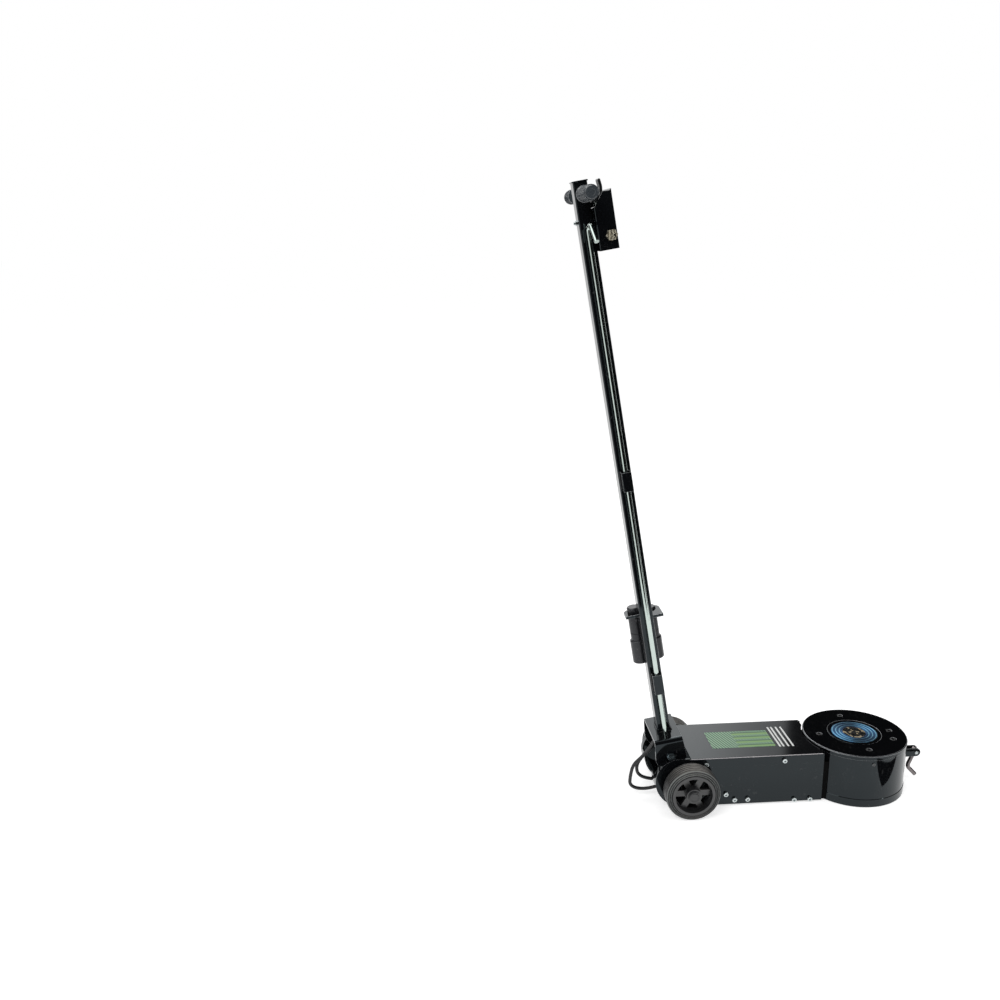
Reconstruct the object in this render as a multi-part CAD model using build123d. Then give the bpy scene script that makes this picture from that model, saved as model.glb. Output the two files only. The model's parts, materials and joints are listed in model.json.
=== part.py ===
"""Air hydraulic truck jack: a low three-stage cylinder on a two-wheeled frame with a long tilting handle.

Millimetres, +Z up. The origin is on the floor under the lifting cylinder's axis, +X runs from the handle to
the cylinder, and -Y is the near side. Handle pieces are drawn upright about their pivot, X forwards and Z up
the handle, and are then leaned back and set on the pivot.
"""

from build123d import *
import math
import os

# Clearances
FIT = 0.05        # a running fit, on the radius
SEAT = 0.1        # between pieces of one body, on the radius
GAP = 0.3         # between faces that pass or rest
EDGE = 1.0        # a broken edge

# Screw heads, as shares of their own size
SOCKET_DEPTH = 0.55
SOCKET_ACROSS = 0.55
HEAD_CHAMFER = 0.15
NUT_CORNER = 1.15

# Lifting cylinder
CYL_R = 120.0
CYL_H = 130.0
BASE_H = 20.0
DISC_T = 10.0
SHELL_STEP = 1.0
SHELL_WALL = 6.0
BARREL_BORE_R = 58.0
BARREL_WALL = 10.0
BARREL_SEAT = 3.0
GLAND_R = 62.0
GLAND_H = 24.0
WIPER_H = 4.5
WIPER_DEPTH = 3.0
WIPER_DROP = 2.0
PILLAR_R = 9.0
TOP_SCREW_INSET = 34.0
TOP_SCREW_R = 4.0
TOP_SCREW_HEAD_R = 6.5
TOP_SCREW_HEAD_H = 7.0
TOP_SCREW_LENGTH = 24.0
FILLER_INSET = 32.0
FILLER_ANGLE = -28.0
FILLER_R = 7.0
FILLER_H = 9.0
SIDE_PLUG_ANGLE = -91.0
SIDE_PLUG_DROP = 20.0
SIDE_PLUG_R = 2.5
SIDE_PLUG_HEAD = 2.0
SIDE_PLUG_HEAD_R = 3.5
FILLER_HEX_R = 4.2

# Rams, outer to inner: radius, wall, piston height
OUTER_R = 53.0
MIDDLE_R = 41.0
INNER_R = 30.0
RAM_WALL = 7.5
PISTON_H = 14.0
RAM_FLOOR = 6.0
RAM_COLLAR_H = 15.0
RAM_PORT_R = 12.0
SADDLE_R = 26.5
SADDLE_H = 8.0
SADDLE_SPIGOT_R = 15.0
SADDLE_SPIGOT_H = 36.0
SADDLE_GROOVE_W = 3.0
SADDLE_GROOVE_D = 1.5
SADDLE_GROOVE_AT = 10.6

# Frame
PLATE_Y = 83.0
PLATE_T = 4.0
PLATE_LAP = 16.0
PLATE_FOOT = 4.0
PLATE_REAR_TOP = 125.0
REAR_X = -499.0
REAR_Z = 70.0
LOW_BAND_Y = 38.0
LOW_BAND_TOP = 75.0
LOW_BAND_FRONT = -440.0
HIGH_BAND_Y = 67.0
HIGH_BAND_FRONT = -473.0
COVER_TOP = 125.0
COVER_Y = 85.0
COVER_T = 2.0
COVER_REAR = -418.0
COVER_LAP = 12.0
COVER_SKIRT = 102.0
COVER_BEND = 2.5
COVER_SCREWS = ((-383.0, 111.0), (-199.0, 112.0))
BRACKET_SCREWS = ((-333.0, 31.0), (-312.0, 16.0), (-281.0, 16.0))
FOOT_SCREWS = ((-170.0, 9.0), (-132.5, 9.0))
SCREW_R = 3.0
SCREW_HEAD_R = 5.6
SCREW_HEAD_H = 5.0
SCREW_GRIP = 14.0

# Wheels and axle
WHEEL_X = -423.0
WHEEL_R = 62.5
TYRE_Y = (95.0, 139.0)
TYRE_DEPTH = 13.5
RIM_WALL = 4.0
RIM_LIP = 2.5
WEB_Y = (116.0, 124.0)
HUB_R = 17.5
HUB_Y = (90.0, 140.0)
WINDOW_MARGIN = (1.5, 5.0)
SPOKES = 6
SPOKE_W = 14.0
TREAD_GROOVES = (-14.0, -7.0, 0.0, 7.0, 14.0)
TREAD_W = 1.6
TREAD_D = 2.0
SHOULDER = 5.0
AXLE_R = 10.0
AXLE_END = 145.0
AXLE_TUBE_R = 15.0
WASHER_R = 14.0
WASHER_T = 2.0

# Handle pivot and lock
PIVOT_X = -460.0
PIVOT_Z = 122.0
LEAN = 9.7
PIVOT_R = 6.0
PIVOT_WASHER_R = 9.5
PIVOT_FLAT_R = 8.0
PIVOT_HEAD_H = 7.0
PIVOT_NUT_H = 8.0
PIVOT_TAIL = 2.0
LUG_Y = (30.0, 40.0)
LUG_FOOT_R = 22.0
SECTOR_R = 30.0
LUG_R = 17.0
BUSH_R = 9.0
LOCK_ANGLES = (0.0, 42.0, 79.5)
NOTCH_FLOOR = 20.0
NOTCH_SPARE = 0.3

# Yoke and socket
EAR_Y = 64.0
YOKE_T = 4.0
YOKE_TOP = 44.0
YOKE_BEND = 10.0
YOKE_REAR = -32.0
YOKE_FRONT = 33.0
YOKE_EAR_R = 36.0
HOSE_SLOT = (-16.0, 2.0, -11.0, 13.0)
SOCKET_T = 2.0
SOCKET_TOP = 52.0

# Handle tube and head
TUBE_Y = 20.0
TUBE_U = 15.0
TUBE_WALL = 2.0
TUBE_CORNER = 4.0
TUBE_TOP = 1292.0
END_PLATE_T = 3.0
END_PLATE_LIP = 2.0
CROSS_S = 1267.0
CROSS_R = 11.0
CROSS_WALL = 2.0
GRIP_R = 15.0
GRIP_Y = (56.0, 146.7)
GRIP_CAP_R = 13.0
GRIP_CAP = 4.0
GRIP_FLANGE_R = 17.5
GRIP_FLANGE = 4.0
BOX_S = (1151.0, 1269.0)
BOX_U = 55.0
BOX_Y = 52.0
BOX_T = 2.0
BOX_FOLD = 3.0
BOX_BACK_TOP = 1236.0
BOX_NOTCH = ((50.0, 1265.0), (37.0, 1266.0))
VALVE_U = 25.0
VALVE_Y = (-28.0, 18.0)
VALVE_S = (1165.0, 1206.0)
VALVE_SCREWS = ((1194.0, 14.0), (1177.0, 14.0), (1194.0, -23.0))
VALVE_SCREW_R = 2.5
VALVE_SCREW_HEAD_R = 4.25
VALVE_PORT_DEPTH = 1.0
INLET_S = 1179.0
INLET_U = 42.0
INLET_BODY_R = 6.0
INLET_HEX_R = 10.35
INLET_HEX_T = 10.0
INLET_TIP_R = 4.0
INLET_BORE_R = 2.5
INLET_END = -90.0
INLET_TIP = 14.0
INLET_NECK = (2.0, 5.0)
STUD_S = 1213.0
STUD_HEX_R = 4.2
STUD_HEX_T = 4.5
STUD_END = 8.0

# Control lever and valve stem
LEVER_U = 46.0
LEVER_S = 1250.0
LEVER_Y = (-20.0, 5.0)
LEVER_T = 6.0
LEVER_HUB_R = 5.0
LEVER_PIN_R = 2.5
LEVER_ARM = (20.5, 1251.2)
LEVER_KNEE = (38.5, 1259.3)
LEVER_BELLY = (40.4, 1276.0)
LEVER_TIP = (38.5, 1289.0)
LEVER_BENDS = (9.0, 30.0)
LEVER_NOSE_R = 3.5
LEVER_NOSE_S = 1252.5
STEM_R = 3.0
STEM_U = 29.0
STEM_SLACK = 0.5
STEM_COLLAR_R = 5.5
STEM_COLLAR_T = 2.0
STEM_DEPTH = 20.0
STEM_SPARE = 6.0

# Lock rod and its clips
ROD_R = 5.0
ROD_Y = -35.0
ROD_TIP_GAP = 0.6
ROD_TOP = 1207.0
ROD_ELBOW = (1.0, -70.0, 1205.0)
ROD_END = (3.0, -98.0, 1173.0)
ROD_BENDS = (14.0, 25.0)
CLIP_UPPER = (640.0, 683.0)
CLIP_LOWER = (151.0, 199.0)
CLIP_Y = -45.0
CLIP_HALF_U = 11.0
CLIP_T = 2.5
ROD_RING_S = 173.0
ROD_RING_T = 4.0
ROD_RING_R = 7.5
SPRING_R = 6.6
SPRING_WIRE_R = 0.7
SPRING_TURNS = 5

# Adapters and rack
ADAPTER_U = 18.8
ADAPTER_Y = 45.0
ADAPTER_BODY_R = 18.4
ADAPTER_SPIGOT_R = 15.0
ADAPTER_BORE_R = 15.2
ADAPTER_BORE_DEPTH = 34.0
ADAPTER_SHOULDER = 258.0
ADAPTER_FEET = (201.0, 205.0)
ADAPTER_RING_S = 275.0
ADAPTER_NECK_R = 11.0
ADAPTER_HEAD_R = 14.5
ADAPTER_TOPS = (340.0, 333.0)
RACK_S = 321.0
RACK_T = 7.0
RACK_U = 42.0
RACK_Y = 61.0
RACK_CORNER = 18.0
RACK_SLOT_SPARE = 0.6
RACK_LUG_Y = 0.0
RACK_FOOT = 25.0

# Air motor and pump
MOTOR_Z = 68.0
MOTOR_R = 42.0
MOTOR_WALL = 3.0
MOTOR_X = (-338.0, -212.0)
CAP_T = 8.0
CAP_SPIGOT = 4.0
AIR_PISTON_X = -330.0
AIR_PISTON_T = 12.0
PLUNGER_R = 8.0
PLUNGER_REACH = 45.0
PLUNGER_STROKE = 30.0
PLUNGER_SPARE = 2.0
RETURN_SPRING_R = 14.0
RETURN_WIRE_R = 1.4
RETURN_TURNS = 6
PUMP_X = -195.0
PUMP_HALF_Y = 30.0
PUMP_Z = (40.0, 96.0)
CRADLE_X = -190.0
CRADLE_FLOOR = 16.0
CRADLE_TOP = 100.0
CHEEK_T = 8.0
BRACKET_X = (-345.0, -270.0)
BRACKET_Z = (9.0, 46.0)
BRACKET_T = 6.0
BRACKET_WALL_X = (-327.0, -321.0)
SILENCER_R = 8.0
SILENCER_AT = (20.0, 88.0)
SILENCER_LENGTH = 26.0

# Hook at the front
HOOK_REACH = 35.0
HOOK_Z = 73.0
HOOK_R = 10.5
HOOK_BAR_R = 5.0
HOOK_EYE_Y = 5.6
HOOK_CHEEK = 3.5
HOOK_ROOT = 2.0
HOOK_FORK = 4.0
HOOK_PIN_R = 3.0
HOOK_PIN_HEAD_R = 4.5
HOOK_PIN_HEAD = 2.0
HOOK_POINTS = ((-15.3, -40.1), (6.1, -62.4))
HOOK_BEND = 13.5

# Hoses: radius, place across the jack, and the points where they pass from handle to frame
HOSE_R = 4.0
HOSE_SPLIT_R = 63.0
INNER_HOSE_Y = -14.0
OUTER_HOSE_Y = -24.0
INNER_SPLIT_ANGLE = 203.0
OUTER_SPLIT_ANGLE = 197.5
INNER_LOOP = ((-533.0, 80.0), (-530.0, 54.0), (-505.0, 41.0), (-450.0, 37.0), (-400.0, 38.0))
OUTER_LOOP = ((-539.0, 86.0), (-542.0, 58.0), (-552.0, 24.0), (-512.0, 17.0), (-455.0, 34.0), (-400.0, 42.0))
INNER_BENDS = (14.0, 15.0, 22.0, 60.0, 60.0)
OUTER_BENDS = (14.0, 22.0, 13.0, 30.0, 60.0, 60.0)
INNER_PORT = (-14.0, 40.0)
OUTER_PORT = (-24.0, 44.0)
HOSE_U = -7.0
HOSE_RISER_Y = (-4.6, 6.0)
HOSE_TOP_S = 1175.0
RISER_KNEE_S = 72.0
RISER_FOOT = (-9.0, 36.0)
RISER_EXIT = (-29.0, 15.0)
RISER_BENDS = (9.0, 60.0, 18.0, 30.0)
FITTING_R = 6.0
FITTING_LENGTH = 8.0

UP = (Align.CENTER, Align.CENTER, Align.MIN)
CORNER = (Align.MIN, Align.MIN, Align.MIN)
TURN = {"X": Rot(0, 90, 0), "Y": Rot(-90, 0, 0), "Z": Rot(0, 0, 0)}
SHELL_R = CYL_R - SHELL_STEP
TOP_SCREW_PCR = CYL_R - TOP_SCREW_INSET
FILLER_PCR = CYL_R - FILLER_INSET
SIDE_PLUG_Z = CYL_H - SIDE_PLUG_DROP
PLATE_FRONT = PLATE_LAP - CYL_R
COVER_FRONT = COVER_LAP - CYL_R
PLUNGER_END = -CYL_R - PLUNGER_REACH
HOOK_X = CYL_R + HOOK_REACH
BEAD_R = WHEEL_R - TYRE_DEPTH
WINDOW_R = (HUB_R + WINDOW_MARGIN[0], BEAD_R - RIM_WALL - WINDOW_MARGIN[1])
PLATE_INNER = PLATE_Y - PLATE_T
COVER_UNDER = COVER_TOP - COVER_T
DISC_Z = CYL_H - DISC_T
BARREL_R = BARREL_BORE_R + BARREL_WALL
GLAND_Z = CYL_H - GLAND_H
HANDLE_PLACE = Pos(PIVOT_X, 0, PIVOT_Z) * Rot(0, -LEAN, 0)
NEAR = Rot(90, 0, 0)
FAR = Rot(-90, 0, 0)


def rod(radius, start, end, along="Z", at=(0, 0)):
    """A round bar from start to end along one axis, with at as its place on the other two."""
    place = {"X": (start, *at), "Y": (at[0], start, at[1]), "Z": (*at, start)}[along]
    return Pos(*place) * TURN[along] * Cylinder(radius, end - start, align=UP)


def pipe(outer, inner, start, end, along="Z", at=(0, 0)):
    """A round tube."""
    return rod(outer, start, end, along, at) - rod(inner, start, end, along, at)


def block(x, y, z):
    """A box between three pairs of limits."""
    return Pos(x[0], y[0], z[0]) * Box(x[1] - x[0], y[1] - y[0], z[1] - z[0], align=CORNER)


def slab(sketch, y_low, y_high):
    """A sketch drawn in X and Z, made solid between two values of Y."""
    return extrude(Plane.XZ.offset(-y_high) * sketch, amount=y_high - y_low, dir=(0, -1, 0))


def mirrored(shape):
    """The same piece on the other side."""
    return mirror(shape, Plane.XZ)


def joined(solids):
    """Several separate solids as one node."""
    return Compound(children=list(solids))


def strap(points, bends, thick, y_low, y_high):
    """A bent strap: a line in X and Z thickened both ways, with round ends."""
    path = FilletPolyline(*points, radius=list(bends))
    ends = [Pos(*points[0]) * Circle(thick / 2), Pos(*points[-1]) * Circle(thick / 2)]
    return slab(trace(path, thick) + ends, y_low, y_high)


def hose(points, bends):
    """A round hose along straight runs joined by arcs."""
    path = FilletPolyline(*points, radius=list(bends))
    return sweep(Plane(path @ 0, z_dir=path % 0) * Circle(HOSE_R), path=path)


def coil(radius, wire, start, end, turns):
    """A helical spring along Z between two heights."""
    path = Pos(0, 0, start + wire) * Helix(
        pitch=(end - start - 2 * wire) / turns, height=end - start - 2 * wire, radius=radius
    )
    section = Plane(path @ 0, x_dir=(1, 0, 0), z_dir=path % 0) * Circle(wire)
    return sweep(section, path=path, is_frenet=True)


def cap_screw(shank_r, head_r, head_h, length):
    """A socket screw, its seat at zero and its head up."""
    head = rod(head_r, 0, head_h)
    head = chamfer(head.edges().group_by(Axis.Z)[-1], head_h * HEAD_CHAMFER)
    socket = extrude(RegularPolygon(head_r * SOCKET_ACROSS, 6), head_h)
    socket = Pos(0, 0, head_h * (1 - SOCKET_DEPTH)) * socket
    return head - socket + rod(shank_r, -length, 0)


def hex_head(flat_r, start, thick):
    """A hexagon along Z with its upper corners turned off."""
    corner_r = flat_r * NUT_CORNER
    turned = Pos(0, 0, -thick) * Cone(corner_r + 2 * thick, corner_r - thick, 3 * thick, align=UP)
    return Pos(0, 0, start) * (extrude(RegularPolygon(flat_r, 6, major_radius=False), thick) & turned)


def nut(flat_r, bore_r, start, thick):
    """A hexagon nut along Z."""
    return hex_head(flat_r, start, thick) - rod(bore_r, start, start + thick)


def polar(radius, degrees):
    """A point on a circle about zero."""
    return radius * math.cos(math.radians(degrees)), radius * math.sin(math.radians(degrees))


# Lifting cylinder
def cylinder_base():
    base = rod(CYL_R, 0, BASE_H)
    base = chamfer(base.edges(), EDGE)
    for angle in range(0, 360, 90):
        place = polar(TOP_SCREW_PCR, angle)
        base += rod(PILLAR_R, BASE_H, DISC_Z, at=place)
        base -= rod(TOP_SCREW_R, DISC_Z - TOP_SCREW_LENGTH, DISC_Z, at=place)
    return base - rod(BARREL_R + SEAT, BASE_H - BARREL_SEAT, BASE_H + EDGE)


def tank_shell():
    shell = pipe(SHELL_R, SHELL_R - SHELL_WALL, BASE_H, DISC_Z)
    hole = rod(SIDE_PLUG_R + SEAT, CYL_R / 2, CYL_R, along="X", at=(0, SIDE_PLUG_Z))
    return shell - Rot(0, 0, SIDE_PLUG_ANGLE) * hole


def top_disc():
    disc = rod(CYL_R, DISC_Z, CYL_H)
    disc = chamfer(disc.edges().group_by(Axis.Z)[-1], 1.5 * EDGE)
    disc -= rod(GLAND_R + SEAT, DISC_Z, CYL_H)
    for angle in range(0, 360, 90):
        place = polar(TOP_SCREW_PCR, angle)
        disc -= rod(TOP_SCREW_R + SEAT, DISC_Z, CYL_H, at=place)
        disc -= rod(TOP_SCREW_HEAD_R + GAP, CYL_H - TOP_SCREW_HEAD_H, CYL_H, at=place)
    return disc - rod(FILLER_R + SEAT, DISC_Z, CYL_H, at=polar(FILLER_PCR, FILLER_ANGLE))


def top_screws():
    shank = TOP_SCREW_LENGTH - TOP_SCREW_HEAD_H
    screw = cap_screw(TOP_SCREW_R, TOP_SCREW_HEAD_R, TOP_SCREW_HEAD_H - GAP, shank)
    seat_z = CYL_H - TOP_SCREW_HEAD_H
    return joined(Pos(*polar(TOP_SCREW_PCR, angle), seat_z) * screw for angle in range(0, 360, 90))


def oil_plugs():
    filler = rod(FILLER_R, 0, FILLER_H)
    filler = chamfer(filler.edges().group_by(Axis.Z)[-1], EDGE)
    filler -= Pos(0, 0, FILLER_H / 2) * extrude(RegularPolygon(FILLER_HEX_R, 6), FILLER_H)
    side = cap_screw(SIDE_PLUG_R, SIDE_PLUG_HEAD_R, SIDE_PLUG_HEAD, SHELL_WALL)
    return joined([
        Pos(*polar(FILLER_PCR, FILLER_ANGLE), CYL_H - FILLER_H - GAP) * filler,
        Rot(0, 0, SIDE_PLUG_ANGLE) * Pos(SHELL_R + GAP, 0, SIDE_PLUG_Z) * TURN["X"] * side,
    ])


def pressure_barrel():
    barrel = pipe(BARREL_R, BARREL_BORE_R, BASE_H - BARREL_SEAT, DISC_Z)
    return barrel - rod(GLAND_R + SEAT, GLAND_Z, DISC_Z)


def gland_ring():
    ring = rod(GLAND_R, GLAND_Z, CYL_H)
    ring = chamfer(ring.edges().group_by(Axis.Z)[-1], EDGE)
    ring -= rod(OUTER_R + FIT, GLAND_Z, CYL_H)
    groove_z = CYL_H - WIPER_DROP - WIPER_H
    return ring - rod(OUTER_R + WIPER_DEPTH, groove_z, groove_z + WIPER_H)


def wiper_seal():
    low = CYL_H - WIPER_DROP - WIPER_H + SEAT
    return pipe(OUTER_R + WIPER_DEPTH - SEAT, OUTER_R + GAP, low, low + WIPER_H - 2 * SEAT)


def hollow_ram(radius, floor_z, piston_r):
    """A ram tube with a piston at its foot and a collar at its head, open for oil through its floor."""
    bore_r = radius - RAM_WALL
    ram = rod(radius, floor_z, CYL_H)
    ram = chamfer(ram.edges().group_by(Axis.Z)[-1], EDGE / 2)
    ram += rod(piston_r, floor_z, floor_z + PISTON_H)
    ram -= rod(bore_r, floor_z + RAM_FLOOR, CYL_H - RAM_COLLAR_H)
    return ram - rod(RAM_PORT_R, floor_z, floor_z + RAM_FLOOR)


OUTER_FLOOR = BASE_H + GAP
MIDDLE_FLOOR = OUTER_FLOOR + RAM_FLOOR + GAP
INNER_FLOOR = MIDDLE_FLOOR + RAM_FLOOR + GAP


def ram_outer():
    ram = hollow_ram(OUTER_R, OUTER_FLOOR, BARREL_BORE_R - FIT)
    return ram - rod(MIDDLE_R + FIT, CYL_H - RAM_COLLAR_H, CYL_H)


def ram_middle():
    ram = hollow_ram(MIDDLE_R, MIDDLE_FLOOR, OUTER_R - RAM_WALL - FIT)
    return ram - rod(INNER_R + FIT, CYL_H - RAM_COLLAR_H, CYL_H)


def ram_inner():
    ram = rod(INNER_R, INNER_FLOOR, CYL_H)
    ram = chamfer(ram.edges().group_by(Axis.Z)[-1], EDGE / 2)
    ram += rod(MIDDLE_R - RAM_WALL - FIT, INNER_FLOOR, INNER_FLOOR + PISTON_H)
    ram -= rod(SADDLE_R + GAP, CYL_H - SADDLE_H, CYL_H)
    return ram - rod(SADDLE_SPIGOT_R + FIT, CYL_H - SADDLE_H - SADDLE_SPIGOT_H - GAP, CYL_H)


def saddle():
    head = rod(SADDLE_R, CYL_H - SADDLE_H + GAP, CYL_H)
    head = chamfer(head.edges().group_by(Axis.Z)[-1], EDGE)
    groove_z = (CYL_H - SADDLE_GROOVE_D, CYL_H)
    half = SADDLE_GROOVE_W / 2
    for shift in (-SADDLE_GROOVE_AT, SADDLE_GROOVE_AT):
        head -= block((shift - half, shift + half), (-SADDLE_R, SADDLE_R), groove_z)
        head -= block((-SADDLE_R, SADDLE_R), (shift - half, shift + half), groove_z)
    return head + rod(SADDLE_SPIGOT_R, CYL_H - SADDLE_H - SADDLE_SPIGOT_H, CYL_H - SADDLE_H + GAP)


# Frame
def plate_outline():
    """The side plate's outline in X and Z, with its round rear end."""
    top_r = PLATE_REAR_TOP - REAR_Z
    foot_r = REAR_Z - PLATE_FOOT
    step_x = COVER_REAR - COVER_BEND
    top = Polyline(
        (REAR_X + foot_r, PLATE_FOOT), (PLATE_FRONT, PLATE_FOOT), (PLATE_FRONT, COVER_UNDER - GAP),
        (step_x, COVER_UNDER - GAP), (step_x, PLATE_REAR_TOP), (REAR_X + top_r, PLATE_REAR_TOP)
    )
    upper = CenterArc((REAR_X + top_r, REAR_Z), top_r, 90, 90)
    lower = CenterArc((REAR_X + foot_r, REAR_Z), foot_r, 180, 90)
    return make_face(Curve() + [top, upper, lower])


def side_plate_near():
    outline = plate_outline()
    plate = slab(outline, -PLATE_Y, -PLATE_INNER)
    band = slab(outline - offset(outline, -PLATE_T), -PLATE_INNER, -LOW_BAND_Y)
    above = (PLATE_FOOT, 2 * PLATE_REAR_TOP)
    behind = (2 * REAR_X, 0)
    band &= block((REAR_X - 1, LOW_BAND_FRONT), (-PLATE_Y, 0), above)
    band -= block(behind, (-HIGH_BAND_Y, 0), (LOW_BAND_TOP, above[1]))
    band -= block((HIGH_BAND_FRONT, 0), (-PLATE_Y, 0), (LOW_BAND_TOP, above[1]))
    plate += band
    plate -= rod(AXLE_R + GAP, -PLATE_Y, -PLATE_INNER, "Y", (WHEEL_X, WHEEL_R))
    for place in COVER_SCREWS + BRACKET_SCREWS + FOOT_SCREWS:
        plate -= rod(SCREW_R + SEAT, -PLATE_Y, -PLATE_INNER, "Y", place)
    return plate


def top_cover():
    cover = block((COVER_REAR, COVER_FRONT), (-COVER_Y, COVER_Y), (COVER_SKIRT, COVER_TOP))
    cover = fillet(cover.edges().filter_by(Axis.X).group_by(Axis.Z)[-1], COVER_BEND)
    inner = COVER_Y - COVER_T
    cover -= block((COVER_REAR, COVER_FRONT), (-inner, inner), (COVER_SKIRT, COVER_UNDER))
    for place in COVER_SCREWS:
        cover -= rod(SCREW_R + SEAT, -COVER_Y, COVER_Y, "Y", place)
    return cover - rod(CYL_R + COVER_T, COVER_SKIRT, COVER_TOP)


def frame_screws():
    """Cover screws with nuts inside the plates, and the bracket and foot screws, on both sides."""
    reach = COVER_Y - PLATE_INNER + SCREW_GRIP / 2
    long_screw = cap_screw(SCREW_R, SCREW_HEAD_R, SCREW_HEAD_H, reach)
    long_screw += nut(SCREW_HEAD_R, SCREW_R, -(COVER_Y - PLATE_INNER) - SCREW_HEAD_H, SCREW_HEAD_H)
    short_screw = cap_screw(SCREW_R, SCREW_HEAD_R, SCREW_HEAD_H, PLATE_T + SCREW_GRIP / 2)
    near = [Pos(x, -COVER_Y, z) * NEAR * long_screw for x, z in COVER_SCREWS]
    near += [Pos(x, -PLATE_Y, z) * NEAR * short_screw for x, z in BRACKET_SCREWS + FOOT_SCREWS]
    return joined(near + [mirrored(screw) for screw in near])


def cylinder_cradle():
    """The foot plate and cheeks that tie the side plates and the pump to the cylinder."""
    inside = PLATE_INNER - SEAT
    cheek = inside - CHEEK_T
    cradle = block((CRADLE_X, 0), (-inside, inside), (PLATE_FOOT, CRADLE_TOP))
    cradle -= block((CRADLE_X, 0), (-cheek, cheek), (CRADLE_FLOOR, CRADLE_TOP))
    cradle += block((CRADLE_X, 0), (-PUMP_HALF_Y, PUMP_HALF_Y), (CRADLE_FLOOR, PUMP_Z[0]))
    cradle -= rod(CYL_R + SEAT, 0, CYL_H)
    for x, z in FOOT_SCREWS:
        cradle -= rod(SCREW_R + SEAT, -inside, -inside + SCREW_GRIP, "Y", (x, z))
        cradle -= rod(SCREW_R + SEAT, inside - SCREW_GRIP, inside, "Y", (x, z))
    return cradle


def motor_bracket():
    """A tray between the side plates whose two cross walls carry the air motor."""
    inside = PLATE_INNER - SEAT
    tray = block(BRACKET_X, (-inside, inside), BRACKET_Z)
    hollow_y = inside - CHEEK_T
    hollow_z = (BRACKET_Z[0] + BRACKET_T, BRACKET_Z[1])
    tray -= block((BRACKET_X[0], BRACKET_WALL_X[0]), (-hollow_y, hollow_y), BRACKET_Z)
    tray -= block((BRACKET_WALL_X[1], BRACKET_X[1] - BRACKET_T), (-hollow_y, hollow_y), hollow_z)
    tray -= rod(MOTOR_R + SEAT, BRACKET_X[0], BRACKET_X[1], "X", (0, MOTOR_Z))
    for x, z in BRACKET_SCREWS:
        tray -= rod(SCREW_R + SEAT, -inside, inside, "Y", (x, z))
    return tray


# Axle and wheels
def lug_shape(head_r):
    """A teardrop in X and Z from the axle tube up to the handle pivot."""
    foot = Pos(WHEEL_X, WHEEL_R) * Circle(LUG_FOOT_R)
    head = Pos(PIVOT_X, PIVOT_Z) * Circle(head_r)
    return make_hull(foot.edges() + head.edges())


def pivot_lug(head_r):
    lug = slab(lug_shape(head_r), *LUG_Y)
    lug -= rod(BUSH_R, *LUG_Y, "Y", (PIVOT_X, PIVOT_Z))
    return lug - rod(AXLE_TUBE_R + SEAT, *LUG_Y, "Y", (WHEEL_X, WHEEL_R))


def lock_sector():
    """The near lug, with one notch for each lock position of the handle."""
    sector = mirrored(pivot_lug(SECTOR_R))
    half = ROD_R + NOTCH_SPARE
    for angle in LOCK_ANGLES:
        notch = block((-half, half), (-LUG_Y[1], -LUG_Y[0]), (NOTCH_FLOOR, 2 * SECTOR_R))
        sector -= Pos(PIVOT_X, 0, PIVOT_Z) * Rot(0, -LEAN - angle, 0) * notch
    return sector


def axle_tube():
    return pipe(AXLE_TUBE_R, AXLE_R + SEAT, SEAT - PLATE_INNER, PLATE_INNER - SEAT, "Y", (WHEEL_X, WHEEL_R))


def pivot_bushes():
    ear_inner = EAR_Y - YOKE_T
    bush = pipe(BUSH_R - SEAT, PIVOT_R + FIT, LUG_Y[0] - CLIP_T, ear_inner - GAP, "Y", (PIVOT_X, PIVOT_Z))
    return joined([bush, mirrored(bush)])


def axle():
    bar = rod(AXLE_R, -AXLE_END, AXLE_END, "Y", (WHEEL_X, WHEEL_R))
    return chamfer(bar.edges(), EDGE)


def axle_rings():
    """Spacers between plates and hubs, and the washers and clips that hold the wheels on."""
    at = (WHEEL_X, WHEEL_R)
    bore = AXLE_R + SEAT
    washer_y = HUB_Y[1] + GAP
    clip_y = washer_y + WASHER_T
    rings = [
        pipe(AXLE_TUBE_R, bore, PLATE_Y + SEAT, HUB_Y[0] - GAP, "Y", at),
        pipe(WASHER_R, bore, washer_y, clip_y, "Y", at),
        pipe(WASHER_R - WASHER_T, bore, clip_y + SEAT, clip_y + WASHER_T, "Y", at),
    ]
    return joined(rings + [mirrored(ring) for ring in rings])


def rim():
    """A wheel centre with six broad spokes set deep in its barrel."""
    at = (WHEEL_X, WHEEL_R)
    low, high = TYRE_Y
    lip = 2 * RIM_LIP
    barrel_r = BEAD_R - RIM_WALL
    wheel = rod(BEAD_R, low, high, "Y", at)
    wheel -= rod(barrel_r, low, high, "Y", at)
    wheel += pipe(barrel_r, barrel_r - RIM_LIP, high - lip, high, "Y", at)
    web = rod(barrel_r, *WEB_Y, "Y", at)
    ring = slab(Pos(*at) * (Circle(WINDOW_R[1]) - Circle(WINDOW_R[0])), *WEB_Y)
    for step in range(SPOKES):
        bar = Pos(*at) * Rot(0, 0, step * 360 / SPOKES) * Pos(BEAD_R / 2, 0) * Rectangle(BEAD_R, SPOKE_W)
        ring -= slab(bar, *WEB_Y)
    wheel += web - ring
    wheel += rod(HUB_R, *HUB_Y, "Y", at)
    return wheel - rod(AXLE_R + FIT, *HUB_Y, "Y", at)


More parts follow.
